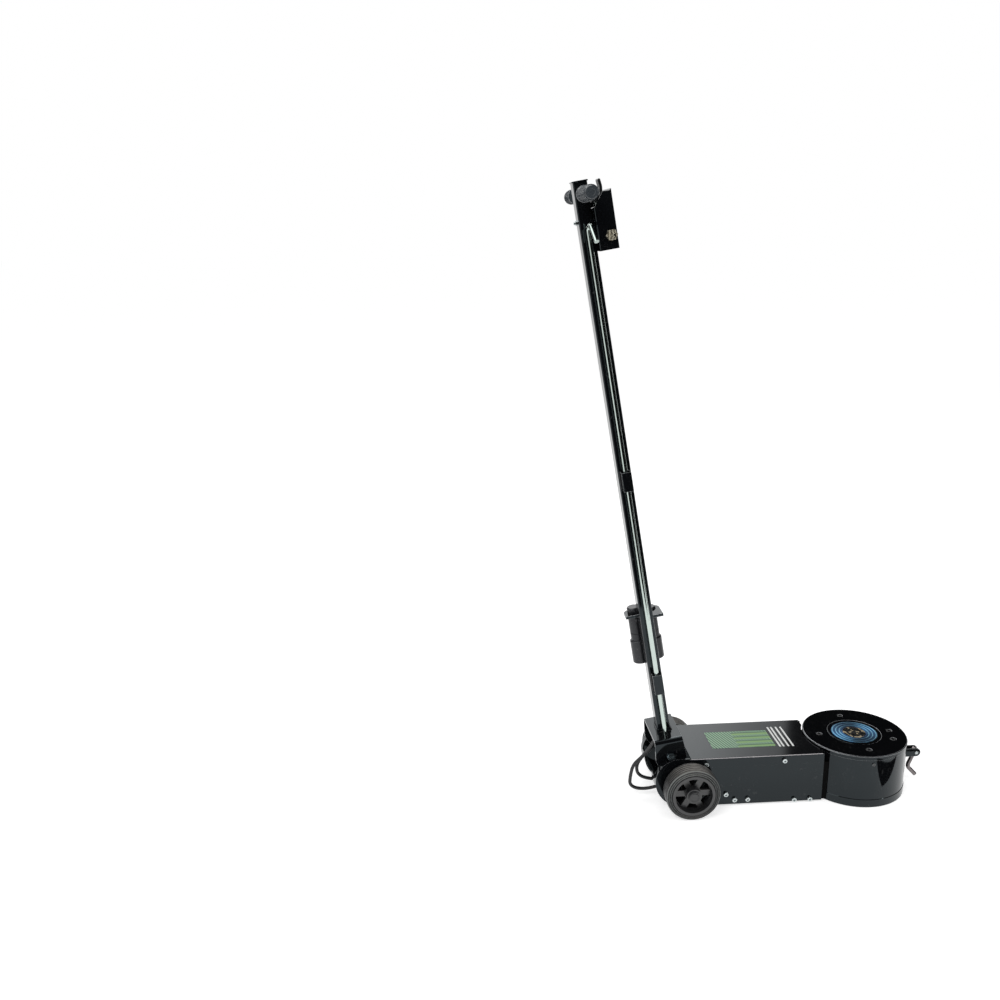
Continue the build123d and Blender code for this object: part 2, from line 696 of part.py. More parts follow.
def tyre():
    """A solid rubber tyre with round shoulders and grooves around its tread."""
    middle = (TYRE_Y[0] + TYRE_Y[1]) / 2
    half = (TYRE_Y[1] - TYRE_Y[0]) / 2
    section = Pos((BEAD_R + SEAT + WHEEL_R) / 2, 0) * Rectangle(WHEEL_R - BEAD_R - SEAT, 2 * half)
    section = fillet(section.vertices().group_by(Axis.X)[-1], SHOULDER)
    for shift in TREAD_GROOVES:
        section -= Pos(WHEEL_R - TREAD_D / 2, shift) * Rectangle(TREAD_D, TREAD_W)
    ring = revolve(section, Axis.Y)
    return Pos(WHEEL_X, middle, WHEEL_R) * ring


# Air motor and pump
def motor_cylinder():
    return pipe(MOTOR_R, MOTOR_R - MOTOR_WALL, *MOTOR_X, "X", (0, MOTOR_Z))


def motor_end_caps():
    spigot_r = MOTOR_R - MOTOR_WALL - SEAT
    at = (0, MOTOR_Z)
    rear = rod(MOTOR_R, MOTOR_X[0] - CAP_T, MOTOR_X[0], "X", at)
    rear += rod(spigot_r, MOTOR_X[0], MOTOR_X[0] + CAP_SPIGOT, "X", at)
    front = rod(MOTOR_R, MOTOR_X[1], MOTOR_X[1] + CAP_T, "X", at)
    front += rod(spigot_r, MOTOR_X[1] - CAP_SPIGOT, MOTOR_X[1], "X", at)
    front += rod(2 * PLUNGER_R, MOTOR_X[1], PUMP_X, "X", at)
    front -= rod(PLUNGER_R + FIT, MOTOR_X[1] - CAP_SPIGOT, PUMP_X, "X", at)
    return joined([rear, front])


def hose_fittings():
    """The two hose ports on the motor's rear cap."""
    end = MOTOR_X[0] - CAP_T
    start = end - FITTING_LENGTH
    return joined(rod(FITTING_R - SEAT, start, end, "X", port) for port in (INNER_PORT, OUTER_PORT))


def silencer():
    start = MOTOR_X[0] - CAP_T - SILENCER_LENGTH
    body = rod(SILENCER_R, start, start + SILENCER_LENGTH, "X", SILENCER_AT)
    return chamfer(body.edges().group_by(Axis.X)[0], 2 * EDGE)


def air_piston():
    """The air piston with the pump plunger fixed in it."""
    at = (0, MOTOR_Z)
    piston = rod(MOTOR_R - MOTOR_WALL - FIT, AIR_PISTON_X, AIR_PISTON_X + AIR_PISTON_T, "X", at)
    middle = AIR_PISTON_X + AIR_PISTON_T / 2
    groove_r = MOTOR_R - 2 * MOTOR_WALL
    piston -= pipe(MOTOR_R, groove_r, middle - MOTOR_WALL / 2, middle + MOTOR_WALL / 2, "X", at)
    plunger = rod(PLUNGER_R, AIR_PISTON_X, PLUNGER_END, "X", at)
    plunger = chamfer(plunger.edges().group_by(Axis.X)[-1], EDGE)
    return piston + plunger


def return_spring():
    length = (AIR_PISTON_X + AIR_PISTON_T + GAP, MOTOR_X[1] - CAP_SPIGOT - GAP)
    spring = coil(RETURN_SPRING_R, RETURN_WIRE_R, 0, length[1] - length[0], RETURN_TURNS)
    return Pos(length[0], 0, MOTOR_Z) * TURN["X"] * spring


def pump_block():
    pump = block((PUMP_X, 0), (-PUMP_HALF_Y, PUMP_HALF_Y), PUMP_Z)
    pump = chamfer(pump.edges().filter_by(Axis.X), 3 * EDGE)
    pump -= rod(SHELL_R + SEAT, 0, CYL_H)
    bore_end = PLUNGER_END + PLUNGER_STROKE + PLUNGER_SPARE
    return pump - rod(PLUNGER_R + FIT, PUMP_X, bore_end, "X", (0, MOTOR_Z))


# Hook
def hook_lug():
    """A fork on the shell that holds the hook, with its cheeks joined at the root."""
    half = HOOK_EYE_Y + GAP
    outer = half + HOOK_CHEEK
    outline = Pos(HOOK_X, HOOK_Z) * Circle(HOOK_R)
    outline += Pos((CYL_R + HOOK_X) / 2, HOOK_Z) * Rectangle(HOOK_X - CYL_R, 2 * HOOK_R)
    fork = slab(outline, -outer, outer)
    fork += block((SHELL_R / 2, CYL_R + HOOK_ROOT), (-outer, outer), (HOOK_Z - HOOK_R, HOOK_Z + HOOK_R))
    fork -= rod(SHELL_R + SEAT, 0, CYL_H)
    fork -= block((CYL_R + HOOK_FORK, HOOK_X + 2 * HOOK_R), (-half, half), (0, CYL_H))
    return fork - rod(HOOK_PIN_R + SEAT, -2 * HOOK_R, 2 * HOOK_R, "Y", (HOOK_X, HOOK_Z))


def hook_pin():
    end = HOOK_EYE_Y + GAP + HOOK_CHEEK + SEAT
    pin = rod(HOOK_PIN_R, -end, end, "Y", (HOOK_X, HOOK_Z))
    head = rod(HOOK_PIN_HEAD_R, -end - HOOK_PIN_HEAD, -end, "Y", (HOOK_X, HOOK_Z))
    head = chamfer(head.edges().group_by(Axis.Y)[0], EDGE)
    return pin + head + mirrored(head)


def strap_hook():
    """A hook bent from round bar, with an eye on the pin."""
    (bend_x, bend_z), (tip_x, tip_z) = HOOK_POINTS
    path = FilletPolyline((0, 0, 0), (bend_x, 0, bend_z), (tip_x, 0, tip_z), radius=HOOK_BEND)
    hook = sweep(Plane(path @ 0, z_dir=path % 0) * Circle(HOOK_BAR_R), path=path)
    hook = Pos(HOOK_X, 0, HOOK_Z) * hook
    hook += rod(HOOK_R - EDGE, -HOOK_EYE_Y, HOOK_EYE_Y, "Y", (HOOK_X, HOOK_Z))
    return hook - rod(HOOK_PIN_R + FIT, -HOOK_EYE_Y, HOOK_EYE_Y, "Y", (HOOK_X, HOOK_Z))


# Hoses
def split_point(angle, y, radius):
    x, z = polar(radius, angle)
    return PIVOT_X + x, y, PIVOT_Z + z


def hose_loops():
    """The frame's part of both hoses, from the handle's end points to the ports on the motor."""
    runs = (
        (INNER_SPLIT_ANGLE, INNER_HOSE_Y, INNER_LOOP, INNER_BENDS, INNER_PORT),
        (OUTER_SPLIT_ANGLE, OUTER_HOSE_Y, OUTER_LOOP, OUTER_BENDS, OUTER_PORT),
    )
    solids = []
    for angle, y, points, bends, port in runs:
        start = split_point(angle, y, HOSE_SPLIT_R + GAP)
        end = (MOTOR_X[0] - CAP_T - FITTING_LENGTH - GAP, *port)
        route = [start] + [(x, y, z) for x, z in points] + [end]
        solids.append(hose(route, bends))
    return joined(solids)


def to_handle(point):
    """A point of the upright jack in the handle's own frame."""
    x, y, z = point
    lean = math.radians(LEAN)
    dx, dz = x - PIVOT_X, z - PIVOT_Z
    return dx * math.cos(lean) + dz * math.sin(lean), y, dz * math.cos(lean) - dx * math.sin(lean)


def hose_risers():
    """The handle's part of both hoses, from the valve down the tube and out behind the yoke."""
    solids = []
    ends = ((INNER_SPLIT_ANGLE, INNER_HOSE_Y), (OUTER_SPLIT_ANGLE, OUTER_HOSE_Y))
    for (angle, y), riser_y in zip(ends, HOSE_RISER_Y):
        end = to_handle(split_point(angle, y, HOSE_SPLIT_R))
        route = [
            (VALVE_U, riser_y, HOSE_TOP_S), (HOSE_U, riser_y, HOSE_TOP_S), (HOSE_U, riser_y, RISER_KNEE_S),
            (RISER_FOOT[0], riser_y, RISER_FOOT[1]), (RISER_EXIT[0], y, RISER_EXIT[1]), end,
        ]
        solids.append(hose(route, RISER_BENDS))
    return joined(solids)


# Handle
def yoke():
    """A folded fork that turns on the pivot bolt and carries the handle."""
    section = Rectangle(2 * EAR_Y, 2 * YOKE_TOP)
    section = fillet(section.vertices().group_by(Axis.Y)[-1], YOKE_BEND)
    section -= offset(section, -YOKE_T)
    fold = extrude(Plane.YZ.offset(-2 * YOKE_EAR_R) * section, amount=4 * YOKE_EAR_R, dir=(1, 0, 0))
    top = Pos((YOKE_REAR + YOKE_FRONT) / 2, YOKE_TOP / 2) * Rectangle(YOKE_FRONT - YOKE_REAR, YOKE_TOP)
    outline = make_hull(Circle(YOKE_EAR_R).edges() + top.edges())
    fork = fold & slab(outline, -EAR_Y, EAR_Y)
    fork -= rod(PIVOT_R + SEAT, -EAR_Y, EAR_Y, "Y")
    rear, front, near, far = HOSE_SLOT
    fork -= block((rear, front), (near, far), (0, YOKE_TOP))
    return fork - rod(ROD_R + GAP, 0, YOKE_TOP, at=(0, ROD_Y))


def tube_section(grow):
    section = Rectangle(2 * (TUBE_U + grow), 2 * (TUBE_Y + grow))
    return fillet(section.vertices(), TUBE_CORNER + grow)


def yoke_socket():
    """A low welded collar round the tube's foot."""
    collar = extrude(tube_section(SOCKET_T) - tube_section(SEAT), SOCKET_TOP - YOKE_TOP)
    return Pos(0, 0, YOKE_TOP) * chamfer(collar.edges().group_by(Axis.Z)[-1], EDGE / 2)


def handle_tube():
    tube = extrude(tube_section(0) - tube_section(-TUBE_WALL), TUBE_TOP - YOKE_TOP)
    tube = Pos(0, 0, YOKE_TOP) * tube
    tube -= rod(CROSS_R + SEAT, -2 * TUBE_Y, 2 * TUBE_Y, "Y", (0, CROSS_S))
    tube -= rod(SCREW_R + SEAT, -2 * TUBE_U, 0, "X", (0, STUD_S))
    return tube - hose_window()


def hose_window():
    """The slot through the tube's front wall and the box's back, where the hoses come from the valve."""
    half = HOSE_R + EDGE
    half_y = TUBE_Y / 2 + EDGE
    return block((0, VALVE_U), (-half_y, half_y), (HOSE_TOP_S - half, HOSE_TOP_S + half))


def tube_end_plate():
    plate = extrude(tube_section(END_PLATE_LIP), END_PLATE_T)
    return Pos(0, 0, TUBE_TOP) * chamfer(plate.edges().group_by(Axis.Z)[-1], EDGE)


def control_box():
    """A folded sheet case before the handle, open at both ends, its cheeks cut back at the top."""
    low, high = BOX_S
    outline = make_face(Polyline(
        (TUBE_U, low), (BOX_U, low), (BOX_U, high), *BOX_NOTCH, (TUBE_U, BOX_BACK_TOP), (TUBE_U, low)
    ))
    case = block((TUBE_U, BOX_U), (-BOX_Y, BOX_Y), (low, high))
    case = fillet(case.edges().filter_by(Axis.Z), BOX_FOLD)
    inner = BOX_Y - BOX_T
    room = block((TUBE_U + BOX_T, BOX_U - BOX_T), (-inner, inner), (low, high))
    case -= fillet(room.edges().filter_by(Axis.Z), BOX_FOLD - BOX_T)
    case &= slab(outline, -BOX_Y, BOX_Y)
    case -= rod(INLET_BODY_R + GAP, -BOX_Y, 0, "Y", (INLET_U, INLET_S))
    for s, y in VALVE_SCREWS:
        case -= rod(VALVE_SCREW_R + SEAT, BOX_U - BOX_T, BOX_U, "X", (y, s))
    return case - hose_window()


def handle_bolts():
    """Screws of the valve, the lever's pin between the box's cheeks, and the stud behind the tube."""
    screw = cap_screw(VALVE_SCREW_R, VALVE_SCREW_HEAD_R, VALVE_SCREW_R, BOX_T + 2 * VALVE_SCREW_R)
    solids = [Pos(BOX_U + SEAT, y, s) * TURN["X"] * screw for s, y in VALVE_SCREWS]
    half = BOX_Y - BOX_T - SEAT
    solids.append(rod(LEVER_PIN_R, -half, half, "Y", (LEVER_U, LEVER_S)))
    stud = rod(SCREW_R, -TUBE_WALL - SCREW_R, STUD_END) + hex_head(STUD_HEX_R, 0, STUD_HEX_T)
    stud = chamfer(stud.edges().group_by(Axis.Z)[-1], EDGE / 2)
    solids.append(Pos(-TUBE_U - SEAT, 0, STUD_S) * Rot(0, -90, 0) * stud)
    return joined(solids)


def pivot_bolt():
    """A long bolt through ears and lugs, with washers, a head on the far side and a nut on the near side."""
    face = EAR_Y + SEAT
    seat = face + WASHER_T
    washer = pipe(PIVOT_WASHER_R, PIVOT_R + SEAT, 0, WASHER_T)
    bolt = FAR * rod(PIVOT_R, -seat - PIVOT_NUT_H - PIVOT_TAIL, seat)
    bolt += Pos(0, seat, 0) * FAR * hex_head(PIVOT_FLAT_R, 0, PIVOT_HEAD_H)
    hexagon = Pos(0, -seat - SEAT, 0) * NEAR * nut(PIVOT_FLAT_R, PIVOT_R + SEAT, 0, PIVOT_NUT_H)
    return joined([bolt, hexagon, Pos(0, face, 0) * FAR * washer, Pos(0, -face, 0) * NEAR * washer])


def cross_tube():
    end = GRIP_Y[1] - GRIP_CAP - SEAT
    return pipe(CROSS_R, CROSS_R - CROSS_WALL, -end, end, "Y", (0, CROSS_S))


def grip():
    """A rubber grip with a flange at its root and a cap over the tube's end."""
    at = (0, CROSS_S)
    low, high = GRIP_Y
    body = rod(GRIP_R, low, high - GRIP_CAP, "Y", at) + rod(GRIP_FLANGE_R, low, low + GRIP_FLANGE, "Y", at)
    cap = rod(GRIP_CAP_R, high - GRIP_CAP, high, "Y", at)
    body += chamfer(cap.edges().group_by(Axis.Y)[-1], 1.5 * EDGE)
    return body - rod(CROSS_R + SEAT, low, high - GRIP_CAP, "Y", at)


def rod_clip(span, closed):
    """A channel on the tube's near face that guides the lock rod, with ends where it holds a spring."""
    clip = block((-CLIP_HALF_U, CLIP_HALF_U), (CLIP_Y, -TUBE_Y), span)
    clip = fillet(clip.edges().filter_by(Axis.Z).group_by(Axis.Y)[0], CLIP_T)
    half = CLIP_HALF_U - CLIP_T
    shut = CLIP_T if closed else 0
    clip -= block((-half, half), (CLIP_Y + CLIP_T, -TUBE_Y), (span[0] + shut, span[1] - shut))
    return clip - rod(ROD_R + GAP, *span, at=(0, ROD_Y))


def rod_clips():
    return joined([rod_clip(CLIP_UPPER, False), rod_clip(CLIP_LOWER, True)])


def lock_rod():
    """The bar that drops into the sector's notches, shown lifted, with its ring and its bent pull."""
    route = [(0, ROD_Y, SECTOR_R + ROD_TIP_GAP), (0, ROD_Y, ROD_TOP), ROD_ELBOW, ROD_END]
    path = FilletPolyline(*route, radius=list(ROD_BENDS))
    bar = sweep(Plane(path @ 0, z_dir=path % 0) * Circle(ROD_R), path=path)
    return bar + rod(ROD_RING_R, ROD_RING_S, ROD_RING_S + ROD_RING_T, at=(0, ROD_Y))


def lock_spring():
    top = CLIP_LOWER[1] - CLIP_T - GAP
    foot = ROD_RING_S + ROD_RING_T + GAP
    return Pos(0, ROD_Y, 0) * coil(SPRING_R, SPRING_WIRE_R, foot, top, SPRING_TURNS)


def control_valve():
    body = block((VALVE_U, BOX_U - BOX_T - SEAT), VALVE_Y, VALVE_S)
    body = chamfer(body.edges().filter_by(Axis.Y), 2 * EDGE)
    body -= rod(INLET_BODY_R + SEAT, VALVE_Y[0], 0, "Y", (INLET_U, INLET_S))
    body -= rod(STEM_R + FIT, VALVE_S[1] - STEM_DEPTH - STEM_SPARE, VALVE_S[1], at=(STEM_U, stem_y()))
    for s, y in VALVE_SCREWS:
        body -= rod(VALVE_SCREW_R + SEAT, BOX_U - 2 * BOX_T - 2 * VALVE_SCREW_R, BOX_U, "X", (y, s))
    for y in HOSE_RISER_Y:
        body -= rod(HOSE_R + SEAT, VALVE_U, VALVE_U + VALVE_PORT_DEPTH, "X", (y, HOSE_TOP_S))
    return body


def stem_y():
    return (LEVER_Y[0] + LEVER_Y[1]) / 2


def air_inlet():
    """A brass hexagon in the valve with a quick-coupling nipple on it."""
    at = (INLET_U, INLET_S)
    hex_y = -BOX_Y - GAP
    body = rod(INLET_BODY_R, hex_y, -SEAT, "Y", at)
    body += Pos(INLET_U, hex_y, INLET_S) * NEAR * hex_head(INLET_HEX_R, 0, INLET_HEX_T)
    tip_y = INLET_END + INLET_TIP
    body += rod(INLET_BODY_R, tip_y, hex_y, "Y", at) + rod(INLET_TIP_R, INLET_END, tip_y, "Y", at)
    neck = (tip_y + INLET_NECK[0], tip_y + INLET_NECK[1])
    body -= pipe(2 * INLET_BODY_R, INLET_BODY_R - EDGE, *neck, "Y", at)
    return body - rod(INLET_BORE_R, INLET_END, 0, "Y", at)


def valve_stem():
    """The valve's plunger, with the collar that its spring lifts."""
    top = stem_top()
    stem = rod(STEM_R, VALVE_S[1] - STEM_DEPTH, top, at=(STEM_U, stem_y()))
    collar = rod(STEM_COLLAR_R, top - 3 * STEM_COLLAR_T, top - 2 * STEM_COLLAR_T, at=(STEM_U, stem_y()))
    return stem + collar


def stem_top():
    return LEVER_NOSE_S - LEVER_NOSE_R - STEM_SLACK


def lever_spring():
    foot = VALVE_S[1] + GAP
    top = stem_top() - 3 * STEM_COLLAR_T - GAP
    return Pos(STEM_U, stem_y(), 0) * coil(STEM_COLLAR_R - EDGE, SPRING_WIRE_R, foot, top, SPRING_TURNS)


def control_lever():
    """A bent finger lever on the box's pin, with a nose under its short arm that presses the valve stem."""
    lever = strap((LEVER_ARM, LEVER_KNEE, LEVER_BELLY, LEVER_TIP), LEVER_BENDS, LEVER_T, *LEVER_Y)
    hub = Pos(LEVER_U, LEVER_S) * Circle(LEVER_HUB_R)
    knee = Pos(*LEVER_KNEE) * Circle(LEVER_T / 2)
    nose = Pos(STEM_U, LEVER_NOSE_S) * Circle(LEVER_NOSE_R)
    lever += slab(make_hull(hub.edges() + knee.edges()), *LEVER_Y)
    lever += slab(nose, stem_y() - STEM_COLLAR_R, stem_y() + STEM_COLLAR_R)
    return lever - rod(LEVER_PIN_R + FIT, *LEVER_Y, "Y", (LEVER_U, LEVER_S))


def adapter_rack():
    """A plate across the tube with two open slots for the adapters, and a foot against the tube."""
    plate = block((-RACK_U, RACK_U), (TUBE_Y, RACK_Y), (RACK_S, RACK_S + RACK_T))
    plate = fillet(plate.edges().filter_by(Axis.Z).group_by(Axis.Y)[-1], RACK_CORNER)
    plate += block((TUBE_U, RACK_U), (RACK_LUG_Y, RACK_Y / 2), (RACK_S, RACK_S + RACK_T))
    slot_r = ADAPTER_NECK_R + RACK_SLOT_SPARE
    for u in (-ADAPTER_U, ADAPTER_U):
        plate -= rod(slot_r, RACK_S, RACK_S + RACK_T, at=(u, ADAPTER_Y))
        plate -= block((u - slot_r, u + slot_r), (ADAPTER_Y, RACK_Y), (RACK_S, RACK_S + RACK_T))
    flat_u = TUBE_U - TUBE_CORNER
    return plate + block((-flat_u, flat_u), (TUBE_Y, TUBE_Y + RACK_T), (RACK_S - RACK_FOOT, RACK_S))


def adapter(foot, top, u):
    """An extension adapter: a body with a socket below, and a spigot whose neck hangs in the rack."""
    head_s = RACK_S + RACK_T + GAP
    at = (u, ADAPTER_Y)
    body = rod(ADAPTER_BODY_R, foot, ADAPTER_SHOULDER, at=at)
    body = chamfer(body.edges(), 1.5 * EDGE)
    body += rod(ADAPTER_SPIGOT_R, ADAPTER_SHOULDER, RACK_S - 2 * EDGE, at=at)
    body += rod(ADAPTER_NECK_R, RACK_S - 2 * EDGE, head_s, at=at)
    head = rod(ADAPTER_HEAD_R, head_s, top, at=at)
    body += chamfer(head.edges().group_by(Axis.Z)[-1], 2 * EDGE)
    ring = (ADAPTER_RING_S, ADAPTER_RING_S + 2 * EDGE)
    body -= pipe(2 * ADAPTER_SPIGOT_R, ADAPTER_SPIGOT_R - EDGE, *ring, at=at)
    return body - rod(ADAPTER_BORE_R, foot, foot + ADAPTER_BORE_DEPTH, at=at)


def save(name, shape):
    """One STEP file for each node."""
    export_step(shape, f"parts/{name}.step")


def main():
    os.makedirs("parts", exist_ok=True)
    near_plate = side_plate_near()
    far_rim, far_tyre, far_grip = rim(), tyre(), grip()
    frame_nodes = {
        "cylinder_base": cylinder_base(),
        "tank_shell": tank_shell(),
        "top_disc": top_disc(),
        "top_screws": top_screws(),
        "oil_plugs": oil_plugs(),
        "pressure_barrel": pressure_barrel(),
        "gland_ring": gland_ring(),
        "wiper_seal": wiper_seal(),
        "ram_outer": ram_outer(),
        "ram_middle": ram_middle(),
        "ram_inner": ram_inner(),
        "saddle": saddle(),
        "side_plate_near": near_plate,
        "side_plate_far": mirrored(near_plate),
        "top_cover": top_cover(),
        "frame_screws": frame_screws(),
        "cylinder_cradle": cylinder_cradle(),
        "motor_bracket": motor_bracket(),
        "axle_tube": joined([axle_tube(), pivot_lug(LUG_R)]),
        "lock_sector": lock_sector(),
        "pivot_bushes": pivot_bushes(),
        "axle": axle(),
        "axle_rings": axle_rings(),
        "rim_near": mirrored(far_rim),
        "rim_far": far_rim,
        "tyre_near": mirrored(far_tyre),
        "tyre_far": far_tyre,
        "motor_cylinder": motor_cylinder(),
        "motor_end_caps": motor_end_caps(),
        "hose_fittings": hose_fittings(),
        "silencer": silencer(),
        "air_piston": air_piston(),
        "return_spring": return_spring(),
        "pump_block": pump_block(),
        "hook_lug": hook_lug(),
        "hook_pin": hook_pin(),
        "strap_hook": strap_hook(),
        "hose_loops": hose_loops(),
    }
    handle_nodes = {
        "yoke": yoke(),
        "yoke_socket": yoke_socket(),
        "handle_tube": handle_tube(),
        "tube_end_plate": tube_end_plate(),
        "control_box": control_box(),
        "handle_bolts": handle_bolts(),
        "pivot_bolt": pivot_bolt(),
        "cross_tube": cross_tube(),
        "grip_near": mirrored(far_grip),
        "grip_far": far_grip,
        "rod_clips": rod_clips(),
        "lock_rod": lock_rod(),
        "lock_spring": lock_spring(),
        "control_valve": control_valve(),
        "air_inlet": air_inlet(),
        "valve_stem": valve_stem(),
        "lever_spring": lever_spring(),
        "control_lever": control_lever(),
        "adapter_rack": adapter_rack(),
        "adapter_long": adapter(ADAPTER_FEET[0], ADAPTER_TOPS[0], -ADAPTER_U),
        "adapter_short": adapter(ADAPTER_FEET[1], ADAPTER_TOPS[1], ADAPTER_U),
        "hose_risers": hose_risers(),
    }
    for name, shape in frame_nodes.items():
        save(name, shape)
    for name, shape in handle_nodes.items():
        save(name, HANDLE_PLACE * shape)


main()
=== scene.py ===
"""The looks of the air hydraulic jack: finishes for every CAD piece, soft edges on its plates, and
the hoses, grips, tyres, welds, label panel and stripes."""

import json
import math

import bpy
from bpy.props import FloatProperty, FloatVectorProperty, IntProperty, PointerProperty
from mathutils import Matrix, Vector

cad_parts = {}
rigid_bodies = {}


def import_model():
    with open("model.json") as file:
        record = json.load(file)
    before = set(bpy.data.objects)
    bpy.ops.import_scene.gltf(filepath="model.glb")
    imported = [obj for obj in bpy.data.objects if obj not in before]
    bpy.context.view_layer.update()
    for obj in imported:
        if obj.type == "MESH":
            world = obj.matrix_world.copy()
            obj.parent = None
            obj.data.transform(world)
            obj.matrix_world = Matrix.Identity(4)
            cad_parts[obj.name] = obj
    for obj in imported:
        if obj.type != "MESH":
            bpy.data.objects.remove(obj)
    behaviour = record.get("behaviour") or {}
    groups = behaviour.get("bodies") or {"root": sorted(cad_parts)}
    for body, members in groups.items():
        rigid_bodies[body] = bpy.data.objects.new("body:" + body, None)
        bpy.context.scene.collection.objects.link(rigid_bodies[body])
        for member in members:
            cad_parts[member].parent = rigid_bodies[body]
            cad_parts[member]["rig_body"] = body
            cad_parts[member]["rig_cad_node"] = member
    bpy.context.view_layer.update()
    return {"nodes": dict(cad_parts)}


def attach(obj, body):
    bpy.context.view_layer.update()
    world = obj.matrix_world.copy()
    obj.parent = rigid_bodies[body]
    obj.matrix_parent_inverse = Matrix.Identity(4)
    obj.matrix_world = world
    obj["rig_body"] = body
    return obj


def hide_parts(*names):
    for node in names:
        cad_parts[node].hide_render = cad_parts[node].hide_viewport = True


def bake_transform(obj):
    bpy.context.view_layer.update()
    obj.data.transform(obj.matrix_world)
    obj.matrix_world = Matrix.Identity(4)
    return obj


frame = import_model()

bl_info = {
    "name": "Air Hydraulic Jack",
    "version": (1, 0, 0),
    "blender": (4, 5, 0),
    "location": "3D View > Sidebar > Jack",
    "description": "Builds the finishes and details of an air hydraulic jack around its CAD frame",
    "category": "Add Mesh",
}

MM = 0.001
TINY = 1e-6
# Distances under which corners become one: on a turned piece, and on a CAD node's loose triangles
TURNED_MERGE, CAD_MERGE = 1e-5, 2e-5

# The handle's pivot and lean, and its frame, whose Z runs up the handle
PIVOT = Vector((-0.460, 0.0, 0.122))
LEAN = math.radians(9.7)
HANDLE = Matrix.Translation(PIVOT) @ Matrix.Rotation(-LEAN, 4, "Y")

# The axle's middle, and how far each wheel stands out from it
WHEEL = Vector((-0.423, 0.0, 0.0625))
WHEEL_OUT = 0.117


# Sizes and colours that a user would change
class JackSizes(bpy.types.PropertyGroup):
    edge: FloatProperty(
        name="Soft edge", description="Width of the rounded edge on plates", default=0.0007,
        unit="LENGTH")
    hose_radius: FloatProperty(
        name="Hose radius", description="Outer radius of the air hoses", default=0.004, unit="LENGTH")
    bead_radius: FloatProperty(
        name="Weld radius", description="Radius of a weld bead", default=0.0019, unit="LENGTH")
    grip_radius: FloatProperty(
        name="Grip radius", description="Radius of a grip's knurled part", default=0.0142, unit="LENGTH")
    knurl_height: FloatProperty(
        name="Knurl height", description="Height of the grip's diamond points", default=0.0017,
        unit="LENGTH")
    knurl_count: IntProperty(
        name="Knurl count", description="Diamonds around a grip", default=18, min=8, max=60)
    tyre_sides: IntProperty(
        name="Tyre sides", description="Segments around a tyre", default=96, min=24, max=256)


class JackColours(bpy.types.PropertyGroup):
    paint: FloatVectorProperty(
        name="Paint", description="Gloss paint of frame and handle", subtype="COLOR", size=4,
        default=(0.0030, 0.0034, 0.0042, 1.0))
    paint_worn: FloatVectorProperty(
        name="Thin paint", description="Paint where it is thin or rubbed", subtype="COLOR", size=4,
        default=(0.0050, 0.0056, 0.0066, 1.0))
    rubber: FloatVectorProperty(
        name="Rubber", description="Grips, hoses and tyres", subtype="COLOR", size=4,
        default=(0.011, 0.0112, 0.012, 1.0))
    panel: FloatVectorProperty(
        name="Panel", description="Blank panel on the top cover", subtype="COLOR", size=4,
        default=(0.034, 0.108, 0.061, 1.0))
    stripe: FloatVectorProperty(
        name="Stripe", description="Stripes across the top cover", subtype="COLOR", size=4,
        default=(0.86, 0.88, 0.86, 1.0))
    dust: FloatVectorProperty(
        name="Dust", description="Dust on faces that look up", subtype="COLOR", size=4,
        default=(0.34, 0.325, 0.30, 1.0))


def sizes():
    return bpy.context.scene.jack_sizes


def colours():
    return bpy.context.scene.jack_colours


# Selecting and placing
def only(piece):
    """Select one object and make it active."""
    bpy.ops.object.select_all(action="DESELECT")
    piece.hide_viewport = False
    piece.select_set(True)
    bpy.context.view_layer.objects.active = piece


def edit(piece):
    only(piece)
    bpy.ops.object.mode_set(mode="EDIT")


def leave():
    bpy.ops.object.mode_set(mode="OBJECT")


def pick_faces(piece, test):
    """Select the faces whose centre and normal pass a test, from object mode."""
    edit(piece)
    bpy.ops.mesh.select_mode(type="FACE")
    bpy.ops.mesh.select_all(action="DESELECT")
    leave()
    for face in piece.data.polygons:
        face.select = test(face.center, face.normal)
    bpy.ops.object.mode_set(mode="EDIT")


def pick_edges(piece, test):
    """Select the edges whose two vertices pass a test, from object mode."""
    edit(piece)
    bpy.ops.mesh.select_mode(type="EDGE")
    bpy.ops.mesh.select_all(action="DESELECT")
    leave()
    for line in piece.data.edges:
        line.select = test(*line.vertices)
    bpy.ops.object.mode_set(mode="EDIT")


def place(piece, matrix):
    """Move a piece to its place and put that place in its mesh."""
    only(piece)
    piece.matrix_world = matrix @ piece.matrix_world
    bpy.ops.object.transform_apply(location=True, rotation=True, scale=True)


def settle(piece, name, material, body, smooth=30.0):
    """Name a finished piece, give it its material and make it ride on its body."""
    piece.name = name
    piece.data.name = name
    piece.data.materials.clear()
    piece.data.materials.append(bpy.data.materials[material])
    only(piece)
    bpy.ops.object.shade_smooth_by_angle(angle=math.radians(smooth))
    if body:
        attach(piece, body)


def modify(piece, kind, **values):
    """Add a modifier with its values and apply it."""
    only(piece)
    modifier = piece.modifiers.new(kind.title(), kind)
    for key, value in values.items():
        setattr(modifier, key, value)
    bpy.ops.object.modifier_apply(modifier=modifier.name)


def twin(piece, name):
    """A copy of a piece with its own mesh."""
    copy = piece.copy()
    copy.data = piece.data.copy()
    copy.name = name
    copy.data.name = name
    bpy.context.scene.collection.objects.link(copy)
    return copy


# Shapes
def in_metres(points):
    """Points or a profile in metres, from millimetres."""
    return [tuple(value * MM for value in point) for point in points]


